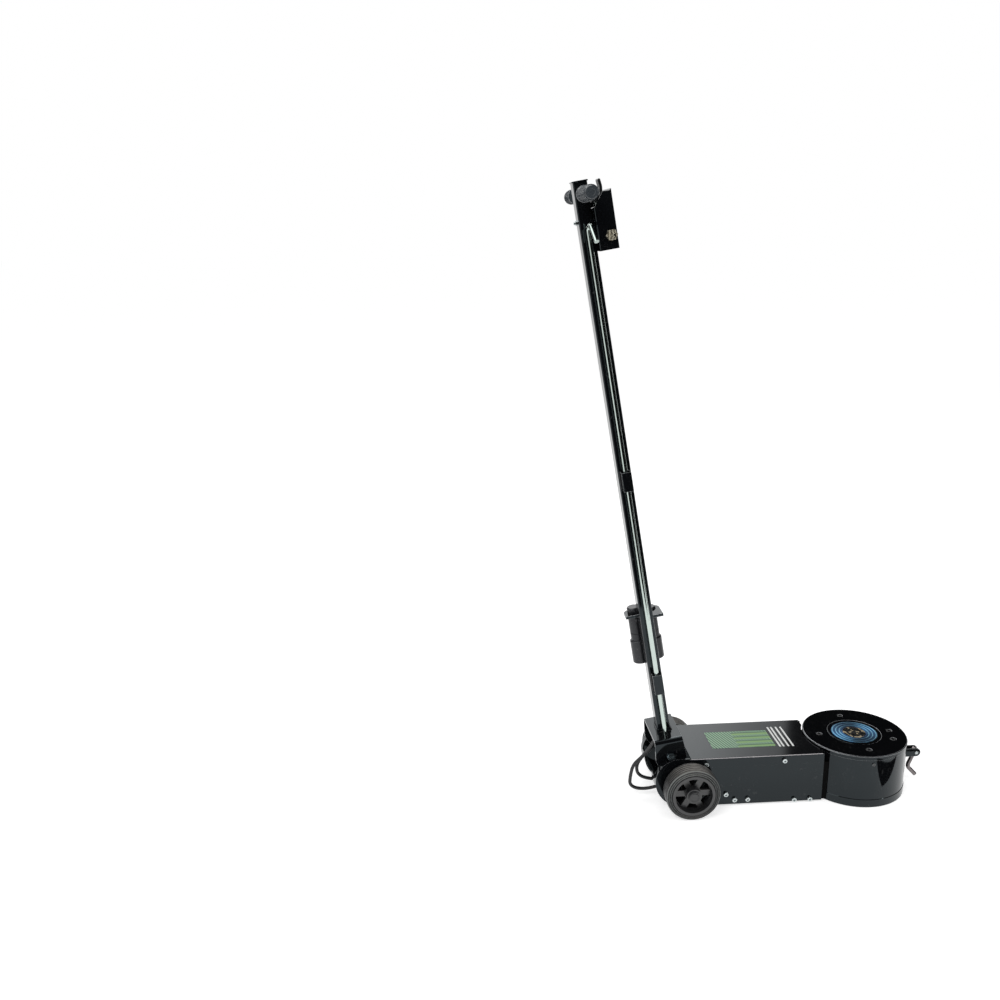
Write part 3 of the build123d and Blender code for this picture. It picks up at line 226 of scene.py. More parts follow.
def turned(profile, sides, closed=False):
    """A piece turned about Z: a circle extruded and scaled along a profile of (radius, height)."""
    bpy.ops.object.select_all(action="DESELECT")
    radius, height = profile[0]
    bpy.ops.mesh.primitive_circle_add(vertices=sides, radius=radius, location=(0, 0, height))
    piece = bpy.context.object
    bpy.ops.object.transform_apply(location=True, rotation=True, scale=True)
    edit(piece)
    bpy.ops.mesh.select_all(action="SELECT")
    for next_radius, next_height in profile[1:]:
        bpy.ops.mesh.extrude_edges_move(TRANSFORM_OT_translate={"value": (0, 0, next_height - height)})
        share = next_radius / radius
        bpy.ops.transform.resize(value=(share, share, 1), center_override=(0, 0, next_height))
        radius, height = next_radius, next_height
    bpy.ops.mesh.select_all(action="SELECT")
    if closed:
        bpy.ops.mesh.remove_doubles(threshold=TURNED_MERGE)
    bpy.ops.mesh.select_all(action="SELECT")
    bpy.ops.mesh.normals_make_consistent(inside=False)
    leave()
    return piece


def cap(piece, height):
    """Close a turned piece's open end at a height."""
    points = piece.data.vertices
    pick_edges(piece, lambda a, b: all(abs(points[end].co.z - height) < TINY for end in (a, b)))
    bpy.ops.mesh.edge_face_add()
    bpy.ops.mesh.select_all(action="SELECT")
    bpy.ops.mesh.normals_make_consistent(inside=False)
    leave()


def slab(low, high, corner, segments=4):
    """A thin plate between two corners, with rounded corners across Z."""
    middle = [(a + b) / 2 for a, b in zip(low, high)]
    size = [b - a for a, b in zip(low, high)]
    bpy.ops.object.select_all(action="DESELECT")
    bpy.ops.mesh.primitive_cube_add(size=1, location=middle, scale=size)
    piece = bpy.context.object
    bpy.ops.object.transform_apply(location=True, rotation=True, scale=True)
    points = piece.data.vertices
    pick_edges(piece, lambda a, b: abs(points[a].co.z - points[b].co.z) > size[2] / 2)
    bpy.ops.mesh.bevel(offset=corner, segments=segments, affect="EDGES")
    leave()
    return piece


def line_curve(name, points, radius, order=3, ring=6, radii=None):
    """A round bar as a mesh, along a smooth line, or along a straight-sided one for order 2."""
    curve = bpy.data.curves.new(name, "CURVE")
    curve.dimensions = "3D"
    curve.bevel_depth = radius
    curve.bevel_resolution = ring
    curve.use_fill_caps = True
    spline = curve.splines.new("NURBS" if order > 2 else "POLY")
    spline.points.add(len(points) - 1)
    for point, spot in zip(spline.points, points):
        point.co = (*spot, 1.0)
    if order > 2:
        spline.order_u = order
        spline.use_endpoint_u = True
        spline.resolution_u = 12
    if radii:
        for point, share in zip(spline.points, radii):
            point.radius = share
    bar = bpy.data.objects.new(name, curve)
    bpy.context.scene.collection.objects.link(bar)
    only(bar)
    bpy.ops.object.convert(target="MESH")
    return bpy.context.object


RIPPLE_PITCH = 0.0016
RIPPLE_WAIST = 0.8


def bead(points):
    """A rippled weld bead along straight runs."""
    spots, radii = [], []
    for start, end in zip(points, points[1:]):
        start, end = Vector(start), Vector(end)
        count = max(2, round((end - start).length / RIPPLE_PITCH))
        for step in range(count):
            spots.append(start.lerp(end, step / count))
            radii.append(1.0 if len(radii) % 2 else RIPPLE_WAIST)
    spots.append(Vector(points[-1]))
    radii.append(RIPPLE_WAIST)
    return line_curve("bead", spots, sizes().bead_radius, order=2, ring=2, radii=radii)


def ring_points(centre, radius, count=40):
    """Points round an upright circle in X and Z, which end where they began."""
    turns = [math.tau * step / count for step in range(count + 1)]
    return [Vector(centre) + radius * Vector((math.cos(turn), 0, math.sin(turn))) for turn in turns]


# Shader groups
def group(name, inputs, outputs):
    """A shader node group with named sockets."""
    tree = bpy.data.node_groups.new(name, "ShaderNodeTree")
    for label, kind, default in inputs:
        socket = tree.interface.new_socket(label, in_out="INPUT", socket_type=kind)
        socket.default_value = default
    for label, kind in outputs:
        tree.interface.new_socket(label, in_out="OUTPUT", socket_type=kind)
    return tree, tree.nodes.new("NodeGroupInput"), tree.nodes.new("NodeGroupOutput")


def math_node(tree, operation, first, second=None, clamp=False):
    """A Math node whose inputs are sockets or numbers."""
    node = tree.nodes.new("ShaderNodeMath")
    node.operation = operation
    node.use_clamp = clamp
    for socket, value in zip(node.inputs, (first, second)):
        if value is None:
            continue
        if isinstance(value, (int, float)):
            socket.default_value = value
        else:
            tree.links.new(value, socket)
    return node.outputs[0]


def noise(tree, vector, scale, detail=3.0, rough=0.55):
    """A Noise Texture on a vector. The scale is a socket or a number."""
    node = tree.nodes.new("ShaderNodeTexNoise")
    node.inputs["Detail"].default_value = detail
    node.inputs["Roughness"].default_value = rough
    tree.links.new(vector, node.inputs["Vector"])
    if isinstance(scale, (int, float)):
        node.inputs["Scale"].default_value = scale
    else:
        tree.links.new(scale, node.inputs["Scale"])
    return node.outputs["Fac"]


# Fineness of the grain's broad patches, as a share of its own
BROAD_SHARE = 0.045


def grain_group():
    """Fine grain for height and roughness, drawn out along one axis by Stretch."""
    tree, given, out = group(
        "Grain",
        [("Vector", "NodeSocketVector", (0, 0, 0)), ("Scale", "NodeSocketFloat", 400.0),
         ("Stretch", "NodeSocketVector", (1, 1, 1))],
        [("Height", "NodeSocketFloat"), ("Patch", "NodeSocketFloat")])
    drawn = tree.nodes.new("ShaderNodeVectorMath")
    drawn.operation = "MULTIPLY"
    tree.links.new(given.outputs["Vector"], drawn.inputs[0])
    tree.links.new(given.outputs["Stretch"], drawn.inputs[1])
    fine = noise(tree, drawn.outputs[0], given.outputs["Scale"], 4.0)
    broad_scale = math_node(tree, "MULTIPLY", given.outputs["Scale"], BROAD_SHARE)
    broad = noise(tree, given.outputs["Vector"], broad_scale, 2.0)
    tree.links.new(fine, out.inputs["Height"])
    tree.links.new(math_node(tree, "SMOOTH_MIN", broad, fine), out.inputs["Patch"])


# Dust: how fast it thins out on tilted faces, fineness of its patches and specks, the level of noise
# from which a speck shows, and how strong it is
DUST_FALL = 3.0
DUST_PATCHES = 38.0
DUST_SPECKS = 900.0
DUST_SPECK_FROM = 0.69
DUST_SPECK_SHARE = 0.5


def dust_group():
    """Dust that gathers on faces that look up, in soft patches."""
    tree, given, out = group(
        "Dust",
        [("Vector", "NodeSocketVector", (0, 0, 0)), ("Amount", "NodeSocketFloat", 0.3)],
        [("Mask", "NodeSocketFloat")])
    geometry = tree.nodes.new("ShaderNodeNewGeometry")
    split = tree.nodes.new("ShaderNodeSeparateXYZ")
    tree.links.new(geometry.outputs["Normal"], split.inputs[0])
    vector = given.outputs["Vector"]
    up = math_node(tree, "POWER", math_node(tree, "MAXIMUM", split.outputs["Z"], 0.0), DUST_FALL)
    patches = math_node(tree, "MULTIPLY", noise(tree, vector, DUST_PATCHES, 5.0, 0.7), up)
    specks = math_node(tree, "GREATER_THAN", noise(tree, vector, DUST_SPECKS, 2.0), DUST_SPECK_FROM)
    both = math_node(tree, "ADD", patches, math_node(tree, "MULTIPLY", specks, DUST_SPECK_SHARE))
    mask = math_node(tree, "MULTIPLY", both, given.outputs["Amount"], clamp=True)
    tree.links.new(mask, out.inputs["Mask"])


# Scratches: the noise's scale along each axis for three directions, the level of noise from which a
# scratch shows, and the same two for the worn patches that have them
SCRATCH_STRETCHES = ((900.0, 60.0, 140.0), (90.0, 800.0, 60.0), (120.0, 90.0, 1000.0))
SCRATCH_FROM = 0.71
WORN_PATCHES = 14.0
WORN_FROM = 0.52


def scuff_group():
    """Short fine scratches, more of them where a broad patch says so."""
    tree, given, out = group(
        "Scuffs",
        [("Vector", "NodeSocketVector", (0, 0, 0)), ("Amount", "NodeSocketFloat", 0.2)],
        [("Mask", "NodeSocketFloat")])
    masks = []
    for stretch in SCRATCH_STRETCHES:
        drawn = tree.nodes.new("ShaderNodeVectorMath")
        drawn.operation = "MULTIPLY"
        drawn.inputs[1].default_value = stretch
        tree.links.new(given.outputs["Vector"], drawn.inputs[0])
        line = noise(tree, drawn.outputs[0], 1.0, 1.0, 0.4)
        masks.append(math_node(tree, "GREATER_THAN", line, SCRATCH_FROM))
    lines = math_node(tree, "MAXIMUM", math_node(tree, "MAXIMUM", masks[0], masks[1]), masks[2])
    worn = noise(tree, given.outputs["Vector"], WORN_PATCHES, 3.0)
    where = math_node(tree, "MULTIPLY", lines, math_node(tree, "GREATER_THAN", worn, WORN_FROM))
    mask = math_node(tree, "MULTIPLY", where, given.outputs["Amount"])
    tree.links.new(mask, out.inputs["Mask"])


def lines_group(name, across=None, level=(1, 1, 0), centre=(0, 0, 0)):
    """Fine lines a pitch apart: straight ones across a direction, or else rings about a centre.

    Level keeps the axes across the rings. The lines begin at From on X.
    """
    tree, given, out = group(
        name,
        [("Vector", "NodeSocketVector", (0, 0, 0)), ("Pitch", "NodeSocketFloat", 0.004),
         ("Width", "NodeSocketFloat", 0.3), ("From", "NodeSocketFloat", -10.0)],
        [("Mask", "NodeSocketFloat")])
    measure = tree.nodes.new("ShaderNodeVectorMath")
    if across:
        measure.operation = "DOT_PRODUCT"
        measure.inputs[1].default_value = across
        tree.links.new(given.outputs["Vector"], measure.inputs[0])
    else:
        flat = tree.nodes.new("ShaderNodeVectorMath")
        flat.operation = "MULTIPLY"
        flat.inputs[1].default_value = level
        offset = tree.nodes.new("ShaderNodeVectorMath")
        offset.operation = "SUBTRACT"
        offset.inputs[1].default_value = centre
        measure.operation = "LENGTH"
        tree.links.new(given.outputs["Vector"], offset.inputs[0])
        tree.links.new(offset.outputs[0], flat.inputs[0])
        tree.links.new(flat.outputs[0], measure.inputs[0])
    count = math_node(tree, "DIVIDE", measure.outputs["Value"], given.outputs["Pitch"])
    lines = math_node(tree, "LESS_THAN", math_node(tree, "FRACT", count), given.outputs["Width"])
    split = tree.nodes.new("ShaderNodeSeparateXYZ")
    tree.links.new(given.outputs["Vector"], split.inputs[0])
    field = math_node(tree, "GREATER_THAN", split.outputs["X"], given.outputs["From"])
    tree.links.new(math_node(tree, "MULTIPLY", lines, field), out.inputs["Mask"])


def placed_group(tree, name, vector, **values):
    node = tree.nodes.new("ShaderNodeGroup")
    node.node_tree = bpy.data.node_groups[name]
    tree.links.new(vector, node.inputs["Vector"])
    for label, value in values.items():
        node.inputs[label].default_value = value
    return node


def blend_colour(tree, share, first, second):
    """Mix two colours, each a socket or a colour, by a socket's share."""
    node = tree.nodes.new("ShaderNodeMix")
    node.data_type = "RGBA"
    tree.links.new(share, node.inputs["Factor"])
    for label, value in (("A", first), ("B", second)):
        socket = [s for s in node.inputs if s.name == label and s.type == "RGBA"][0]
        if isinstance(value, bpy.types.NodeSocket):
            tree.links.new(value, socket)
        else:
            socket.default_value = tuple(value)
    return [s for s in node.outputs if s.type == "RGBA"][0]


def finish(name, colour, other, rough, spread, scale, bump, metallic=0.0, stretch=(1, 1, 1), dust=0.0,
           scuffs=0.0, scuff_colour=(0.3, 0.3, 0.3, 1), specular=0.5, tint=None, lines=()):
    """A material with grain in its colour, roughness and bump, and lines, dust and scuffs over it.

    The grain runs between colour and other and adds up to spread to rough. Scale is its fineness and
    bump its height in metres. Each of the lines has its group's name, its colour and its values.
    """
    material = bpy.data.materials.new(name)
    material.use_nodes = True
    tree = material.node_tree
    shader = tree.nodes["Principled BSDF"]
    vector = tree.nodes.new("ShaderNodeTexCoord").outputs["Object"]
    grain = placed_group(tree, "Grain", vector, Scale=scale, Stretch=stretch)
    result = blend_colour(tree, grain.outputs["Patch"], colour, other)
    roughness = math_node(tree, "MULTIPLY_ADD", grain.outputs["Patch"], spread)
    roughness.node.inputs[2].default_value = rough
    for kind, shade, values in lines:
        drawn = placed_group(tree, kind, vector, **values)
        result = blend_colour(tree, drawn.outputs["Mask"], result, shade)
    if scuffs:
        marks = placed_group(tree, "Scuffs", vector, Amount=scuffs)
        result = blend_colour(tree, marks.outputs["Mask"], result, scuff_colour)
        roughness = math_node(tree, "ADD", roughness, marks.outputs["Mask"], clamp=True)
    if dust:
        film = placed_group(tree, "Dust", vector, Amount=dust)
        result = blend_colour(tree, film.outputs["Mask"], result, colours().dust)
        roughness = math_node(tree, "ADD", roughness, film.outputs["Mask"], clamp=True)
    tree.links.new(result, shader.inputs["Base Color"])
    tree.links.new(roughness, shader.inputs["Roughness"])
    relief = tree.nodes.new("ShaderNodeBump")
    relief.inputs["Strength"].default_value = 1.0
    relief.inputs["Distance"].default_value = bump
    tree.links.new(grain.outputs["Height"], relief.inputs["Height"])
    tree.links.new(relief.outputs["Normal"], shader.inputs["Normal"])
    shader.inputs["Metallic"].default_value = metallic
    shader.inputs["Specular IOR Level"].default_value = specular
    if tint:
        shader.inputs["Specular Tint"].default_value = tint
    return material


NODE_FINISH = {
    "gloss paint": (
        "cylinder_base tank_shell side_plate_near side_plate_far top_cover motor_bracket "
        "axle_tube lock_sector hook_lug yoke yoke_socket handle_tube tube_end_plate control_box rod_clips "
        "adapter_rack"),
    "disc paint": "top_disc gland_ring",
    "flat black shade": "cylinder_cradle",
    "zinc with painted glints": "pivot_bolt",
    "phosphated steel": "adapter_long adapter_short pressure_barrel",
    "saddle steel": "saddle",
    "black oxide": "top_screws oil_plugs axle_rings axle control_lever",
    "machined steel": "pump_block motor_end_caps air_piston",
    "ram chrome": "ram_outer ram_middle ram_inner",
    "rod chrome": "lock_rod cross_tube valve_stem",
    "zinc plate": "frame_screws handle_bolts hook_pin",
    "polished steel with painted highlights": "strap_hook",
    "spring wire": "return_spring lock_spring lever_spring",
    "brass with painted glints": "hose_fittings air_inlet",
    "bronze": "pivot_bushes silencer",
    "drawn aluminium": "motor_cylinder control_valve",
    "moulded nylon": "rim_near rim_far",
    "soft rubber": "wiper_seal hose_loops hose_risers",
    "grip rubber": "grip_near grip_far",
    "tyre rubber": "tyre_near tyre_far",
}


# What polished paint reflects is a little blue
BLUE_SHEEN = (0.80, 0.94, 1.0, 1)
SADDLE_GOLD = (0.5, 0.42, 0.28, 1)
SADDLE_BLACK = (0.004, 0.004, 0.004, 1)
RAM_SIDE = (0.55, 0.57, 0.58, 1)
PALE_MARK = (0.7, 0.7, 0.7, 1)
# Upward part of the normal past which a face of a ram is one of its ends
RAM_END = 0.5
# X on the cover from which the panel's rules run
RULES_FROM = -0.292


class JACK_OT_finishes(bpy.types.Operator):
    """Make every finish and give each CAD node its own"""
    bl_idname = "jack.finishes"
    bl_label = "Finishes"

    def execute(self, context):
        grain_group()
        dust_group()
        scuff_group()
        lines_group("Rings")
        lines_group("Wheel rings", level=(1, 0, 1), centre=WHEEL)
        lines_group("Hatch", (0.94, 0.34, 0))
        lines_group("Rules", (0, 1, 0))
        self.paints(colours())
        self.dark_steels()
        self.bright_metals()
        self.yellow_metals()
        self.rubbers(colours())
        self.prints(colours())
        for label, names in NODE_FINISH.items():
            for name in names.split():
                node = frame["nodes"][name]
                node.data.materials.clear()
                node.data.materials.append(bpy.data.materials[label])
        return {"FINISHED"}

    def paints(self, hues):
        """Black paint, its paler edges that are partly rubbed paint and partly a painted highlight, the
        painted highlight on the cover's folds, and paint over a weld.
        """
        finish("gloss paint", hues.paint, hues.paint_worn, 0.04, 0.04, 260.0, 0.000003,
               dust=0.012, scuffs=0.06, specular=0.40, tint=BLUE_SHEEN)
        finish("disc paint", (0.0012, 0.0014, 0.0018, 1), hues.paint, 0.04, 0.05, 60.0, 0.000002,
               dust=0.003, scuffs=0.04, specular=0.4, tint=BLUE_SHEEN)
        # The cradle's near-black matt finish paints the shade in the gap between the side plates and the
        # shell
        finish("flat black shade", (0.001, 0.001, 0.001, 1), (0.002, 0.002, 0.002, 1), 0.5, 0.2, 260.0,
               0.00002, scuffs=0.05, specular=0.05)
        # Pale paint on the cover's folds: a painted highlight
        finish("painted fold highlight", (0.22, 0.21, 0.22, 1), (0.85, 0.82, 0.84, 1), 0.35, 0.2, 900.0, 0.00001)
        # Pale edges: partly paint rubbed through, partly a painted highlight
        finish("edge wear and painted highlight", (0.17, 0.18, 0.19, 1), (0.42, 0.43, 0.44, 1), 0.3, 0.2, 120.0, 0.00001,
               metallic=0.6)
        finish("weld metal", hues.paint_worn, (0.02, 0.02, 0.021, 1), 0.2, 0.2, 900.0, 0.00005,
               specular=0.4)

    def dark_steels(self):
        """Blacked and phosphated steel, and the black saddle with gold lines across it and black rings."""
        finish("black oxide", (0.0035, 0.004, 0.005, 1), (0.008, 0.0085, 0.0095, 1), 0.24, 0.2, 500.0,
               0.00001, scuffs=0.15, specular=0.8)
        finish("phosphated steel", (0.02, 0.021, 0.024, 1), (0.034, 0.036, 0.04, 1), 0.22, 0.2, 500.0,
               0.00003, metallic=0.4, dust=0.05, scuffs=0.25, scuff_colour=(0.35, 0.35, 0.36, 1))
        finish("saddle steel", SADDLE_BLACK, (0.02, 0.019, 0.016, 1), 0.15, 0.2, 300.0, 0.00003,
               metallic=0.3, lines=(("Hatch", SADDLE_GOLD, {"Pitch": 0.021, "Width": 0.17}),
                                    ("Rules", SADDLE_GOLD, {"Pitch": 0.026, "Width": 0.17}),
                                    ("Rings", SADDLE_BLACK, {"Pitch": 0.013, "Width": 0.45})))

    def bright_metals(self):
        """Machined and polished steel, chrome, zinc, wire and aluminium."""
        finish("machined steel", (0.36, 0.37, 0.38, 1), (0.5, 0.5, 0.51, 1), 0.25, 0.2, 300.0, 0.00003,
               metallic=1.0, stretch=(0.2, 3, 3), scuffs=0.2)
        # The rams' ends are chrome with a painted blue reflection, and the pale cyan rings are painted
        # highlights
        ram_ring_highlights = ("Rings", (0.26, 0.6, 0.8, 1), {"Pitch": 0.0082, "Width": 0.26})
        ram = finish("ram chrome", (0.012, 0.075, 0.20, 1), (0.03, 0.14, 0.32, 1), 0.27, 0.1, 120.0,
                     0.000004, metallic=1.0, lines=(ram_ring_highlights,))
        self.brush(ram)
        # The rod's green tint is a painted green reflection on the chrome
        finish("rod chrome", (0.42, 0.50, 0.46, 1), (0.58, 0.64, 0.61, 1), 0.06, 0.10, 220.0, 0.000006,
               metallic=1.0, stretch=(4, 4, 0.3), scuffs=0.2, scuff_colour=PALE_MARK)
        # Dark zinc whose pale blue patches are painted glints
        finish("zinc with painted glints", (0.02, 0.024, 0.026, 1), (0.55, 0.66, 0.7, 1), 0.1, 0.2, 3500.0,
               0.00005, metallic=0.9, scuffs=0.2)
        finish("zinc plate", (0.30, 0.36, 0.37, 1), (0.95, 0.98, 0.97, 1), 0.16, 0.25, 3500.0, 0.00004,
               metallic=1.0, scuffs=0.2)
        # Near-black steel whose pale pink patches are painted highlights
        finish("polished steel with painted highlights", (0.02, 0.02, 0.022, 1), (0.40, 0.36, 0.36, 1), 0.08, 0.12, 3000.0,
               0.00001, metallic=1.0, scuffs=0.2, scuff_colour=PALE_MARK)
        finish("spring wire", (0.25, 0.25, 0.26, 1), (0.36, 0.36, 0.36, 1), 0.25, 0.2, 900.0, 0.00002,
               metallic=1.0)
        finish("drawn aluminium", (0.55, 0.56, 0.57, 1), (0.66, 0.66, 0.67, 1), 0.28, 0.2, 300.0,
               0.00002, metallic=1.0, stretch=(0.15, 3, 3), scuffs=0.2)

    def yellow_metals(self):
        """Brass of the air inlet, with painted glints in pale patches and scuffs and painted dark
        reflections in dark hatch lines, and bronze of the bushes.
        """
        # Near-white patches and pale scuffs are painted glints, and the dark hatch lines are painted dark
        # reflections
        finish("brass with painted glints", (0.55, 0.48, 0.32, 1), (1.0, 0.97, 0.85, 1), 0.10, 0.2, 3500.0, 0.00005,
               metallic=0.4, scuffs=0.3, scuff_colour=(0.9, 0.88, 0.78, 1),
               lines=(("Hatch", (0.04, 0.03, 0.015, 1), {"Pitch": 0.0055, "Width": 0.35}),))
        finish("bronze", (0.4, 0.25, 0.12, 1), (0.5, 0.33, 0.18, 1), 0.4, 0.25, 1200.0, 0.00012,
               metallic=1.0)

    def rubbers(self, hues):
        """Nylon of the rims, and rubber of the hoses, tyres and grips."""
        finish("moulded nylon", (0.011, 0.0115, 0.0125, 1), (0.018, 0.0185, 0.02, 1), 0.2, 0.2, 900.0,
               0.00003, dust=0.04, specular=0.85)
        finish("soft rubber", hues.rubber, (0.018, 0.0185, 0.02, 1), 0.30, 0.25, 1100.0, 0.00005,
               dust=0.05, specular=0.5)
        # The pale rings are painted highlights, and the heavy dust on faces that look up is partly dust
        # and partly painted top light
        finish("tyre rubber", hues.rubber, (0.019, 0.0195, 0.021, 1), 0.26, 0.25, 700.0, 0.00006,
               dust=0.9, specular=0.35,
               lines=(("Wheel rings", (0.17, 0.185, 0.18, 1), {"Pitch": 0.0043}),))
        finish("grip rubber", (0.030, 0.036, 0.042, 1), (0.060, 0.070, 0.080, 1), 0.2, 0.15, 1100.0,
               0.00003, dust=0.02, specular=0.8)

    def prints(self, hues):
        """The blank panel, hatched and then ruled, and the stripes."""
        finish("panel print", hues.panel, (0.06, 0.17, 0.10, 1), 0.3, 0.2, 180.0, 0.00001, specular=0.4,
               lines=(("Hatch", (0.30, 0.46, 0.30, 1), {"Pitch": 0.0066, "Width": 0.45}),
                      ("Rules", hues.panel, {"Pitch": 0.0195, "Width": 0.6, "From": RULES_FROM}),
                      ("Rules", (0.20, 0.36, 0.12, 1),
                       {"Pitch": 0.0195, "Width": 0.4, "From": RULES_FROM})))
        finish("stripe paint", hues.stripe, (0.62, 0.64, 0.62, 1), 0.35, 0.2, 400.0, 0.00001, scuffs=0.3,
               scuff_colour=(0.2, 0.2, 0.2, 1))

    def brush(self, material):
        """Draw a turned end's highlights out across its rings, keep the painted blue reflection on its
        ends, and leave its sides plain chrome.
        """
        tree = material.node_tree
        shader = tree.nodes["Principled BSDF"]
        level = tree.nodes.new("ShaderNodeSeparateXYZ")
        tree.links.new(tree.nodes.new("ShaderNodeNewGeometry").outputs["Normal"], level.inputs[0])
        ends = math_node(tree, "GREATER_THAN", level.outputs["Z"], RAM_END)
        # The blue on the ends is a painted reflection
        blue = shader.inputs["Base Color"].links[0].from_socket
        tree.links.new(blend_colour(tree, ends, RAM_SIDE, blue), shader.inputs["Base Color"])
        around = tree.nodes.new("ShaderNodeTangent")
        around.direction_type = "RADIAL"
        around.axis = "Z"
        tree.links.new(around.outputs[0], shader.inputs["Tangent"])
        shader.inputs["Anisotropic"].default_value = 0.8
        shader.inputs["Anisotropic Rotation"].default_value = 0.25


# CAD nodes whose edges are broken, with the width as a share of the soft edge
SOFT_NODES = {
    "side_plate_near": 1.0, "side_plate_far": 1.0, "top_cover": 1.6, "yoke": 1.5, "control_box": 1.0,
    "rod_clips": 1.0, "adapter_rack": 1.0, "hook_lug": 1.0, "cylinder_cradle": 1.3, "motor_bracket": 1.3,
    "lock_sector": 1.0, "axle_tube": 1.0, "tube_end_plate": 0.6, "yoke_socket": 0.7, "control_lever": 1.6,
    "pump_block": 1.3, "tank_shell": 0.9, "top_disc": 0.7, "gland_ring": 0.4, "top_screws": 0.4,
    "oil_plugs": 0.4, "frame_screws": 0.6, "handle_bolts": 0.6,
}
# Those whose paint or blacking is rubbed to a paler line along the edges, a line that is partly wear and
# partly a painted highlight
WEAR_AND_HIGHLIGHT_NODES = (
    "side_plate_near side_plate_far top_cover yoke control_box rod_clips adapter_rack hook_lug "
    "top_disc top_screws oil_plugs control_lever")
# Upward parts of the normals between which the cover's folds get a painted highlight
FOLD_HIGHLIGHT_RANGE = (0.45, 0.9)
# Place of each material on a softened node
WEAR_HIGHLIGHT_SLOT, FOLD_HIGHLIGHT_SLOT = 1, 2


class JACK_OT_soft_edges(bpy.types.Operator):
    """Break the sharp edges of the plates, on copies that stand for the CAD nodes"""
    bl_idname = "jack.soft_edges"
    bl_label = "Soft edges"

    def execute(self, context):
        for name, share in SOFT_NODES.items():
            self.soften(name, share)
        return {"FINISHED"}

    def soften(self, name, share):
        """Bevel a merged copy of a node, with a paler line along the edges where it is so: partly rubbed
        paint, partly a painted highlight.
        """
        node = frame["nodes"][name]
        piece = twin(node, "soft_" + name)
        piece.parent = None
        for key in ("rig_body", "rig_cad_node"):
            if key in piece:
                del piece[key]
        edit(piece)
        bpy.ops.mesh.select_all(action="SELECT")
        bpy.ops.mesh.remove_doubles(threshold=CAD_MERGE)
        bpy.ops.mesh.dissolve_limited(angle_limit=math.radians(1.0))
        leave()
        wear_and_highlight = name in WEAR_AND_HIGHLIGHT_NODES.split()
        if wear_and_highlight:
            piece.data.materials.append(bpy.data.materials["edge wear and painted highlight"])
        modify(piece, "BEVEL", width=sizes().edge * share, segments=2, limit_method="ANGLE",
               angle_limit=math.radians(40.0), use_clamp_overlap=True,
               material=WEAR_HIGHLIGHT_SLOT if wear_and_highlight else -1)
        marks = [face.material_index for face in piece.data.polygons]
        settle(piece, "soft_" + name, node.data.materials[0].name, node["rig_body"], 35.0)
        if wear_and_highlight:
            piece.data.materials.append(bpy.data.materials["edge wear and painted highlight"])
            piece.data.materials.append(bpy.data.materials["painted fold highlight"])
            piece.data.polygons.foreach_set("material_index", marks)
        # The cover's tilted folds take the painted fold highlight
        if name == "top_cover":
            for face in piece.data.polygons:
                tilted = FOLD_HIGHLIGHT_RANGE[0] < face.normal.z < FOLD_HIGHLIGHT_RANGE[1]
                if tilted and abs(face.normal.y) > abs(face.normal.x):
                    face.material_index = FOLD_HIGHLIGHT_SLOT
        modify(piece, "WEIGHTED_NORMAL", keep_sharp=True)
        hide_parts(name)


# Hoses, in millimetres: the points that both share on the handle, as out from it and along it
RISER = ((25.0, 1175.0), (6.0, 1175.0), (-7.0, 1172.0), (-7.0, 1150.0), (-7.0, 700.0), (-7.0, 110.0),
         (-7.0, 72.0), (-10.0, 40.0))
RISER_END = (-29.0, 15.0)
HOSES = (
    # name, Y on the handle, Y below it, X and Z of the frame's first point and of the loop, port
    ("hose_inner", -4.6, -14.0, (-518.0, 97.4),
     ((-530.0, 78.0), (-528.0, 54.0), (-505.0, 40.0), (-455.0, 36.0), (-400.0, 38.0), (-370.0, 40.0)),
     (-354.0, -14.0, 40.0)),
    ("hose_outer", 6.0, -24.0, (-520.1, 103.1),
     ((-540.0, 84.0), (-546.0, 58.0), (-548.0, 28.0), (-512.0, 17.0), (-455.0, 32.0), (-400.0, 42.0),
      (-370.0, 44.0)),
     (-354.0, -24.0, 44.0)),
)
# A ferrule's closed profile of radius and height, in millimetres, and its start before the port
FERRULE = ((4.4, 0.0), (5.1, 0.4), (5.1, 3.0), (4.8, 3.4), (4.8, 5.0), (5.1, 5.4), (5.1, 9.0), (4.4, 9.4),
           (4.02, 9.4), (4.02, 0.0), (4.4, 0.0))
FERRULE_BACK = 11.0
FERRULE_SIDES = 32


class JACK_OT_hoses(bpy.types.Operator):
    """Run the two air hoses from the valve, behind the pivot and to the motor"""
    bl_idname = "jack.hoses"
    bl_label = "Hoses"

    def execute(self, context):
        for name, riser_y, low_y, split, loop, port in HOSES:
            points = [HANDLE @ Vector((u * MM, riser_y * MM, s * MM)) for u, s in RISER]
            points.append(HANDLE @ Vector((RISER_END[0] * MM, low_y * MM, RISER_END[1] * MM)))
            points += [Vector((x * MM, low_y * MM, z * MM)) for x, z in (split, *loop)]
            points.append(Vector(port) * MM)
            piece = line_curve(name, points, sizes().hose_radius, ring=7)
            settle(piece, name, "soft rubber", None, 60.0)
            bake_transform(piece)
            if name == "hose_inner":
                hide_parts("hose_loops", "hose_risers")
            self.ferrule(name, port)
        return {"FINISHED"}

    def ferrule(self, hose, port):
        """A crimped collar on a hose, just before its port."""
        collar = turned(in_metres(FERRULE), FERRULE_SIDES, closed=True)
        spot = Vector((port[0] - FERRULE_BACK, port[1], port[2])) * MM
        place(collar, Matrix.Translation(spot) @ Matrix.Rotation(math.radians(90), 4, "Y"))
        settle(collar, hose + "_ferrule", "zinc plate", "chassis")


# A grip's ends along the cross tube, in millimetres, and the parts there without a knurl
GRIP_LOW, GRIP_HIGH = 56.0, 146.7
GRIP_PLAIN_LOW, GRIP_PLAIN_HIGH = 6.5, 8.5
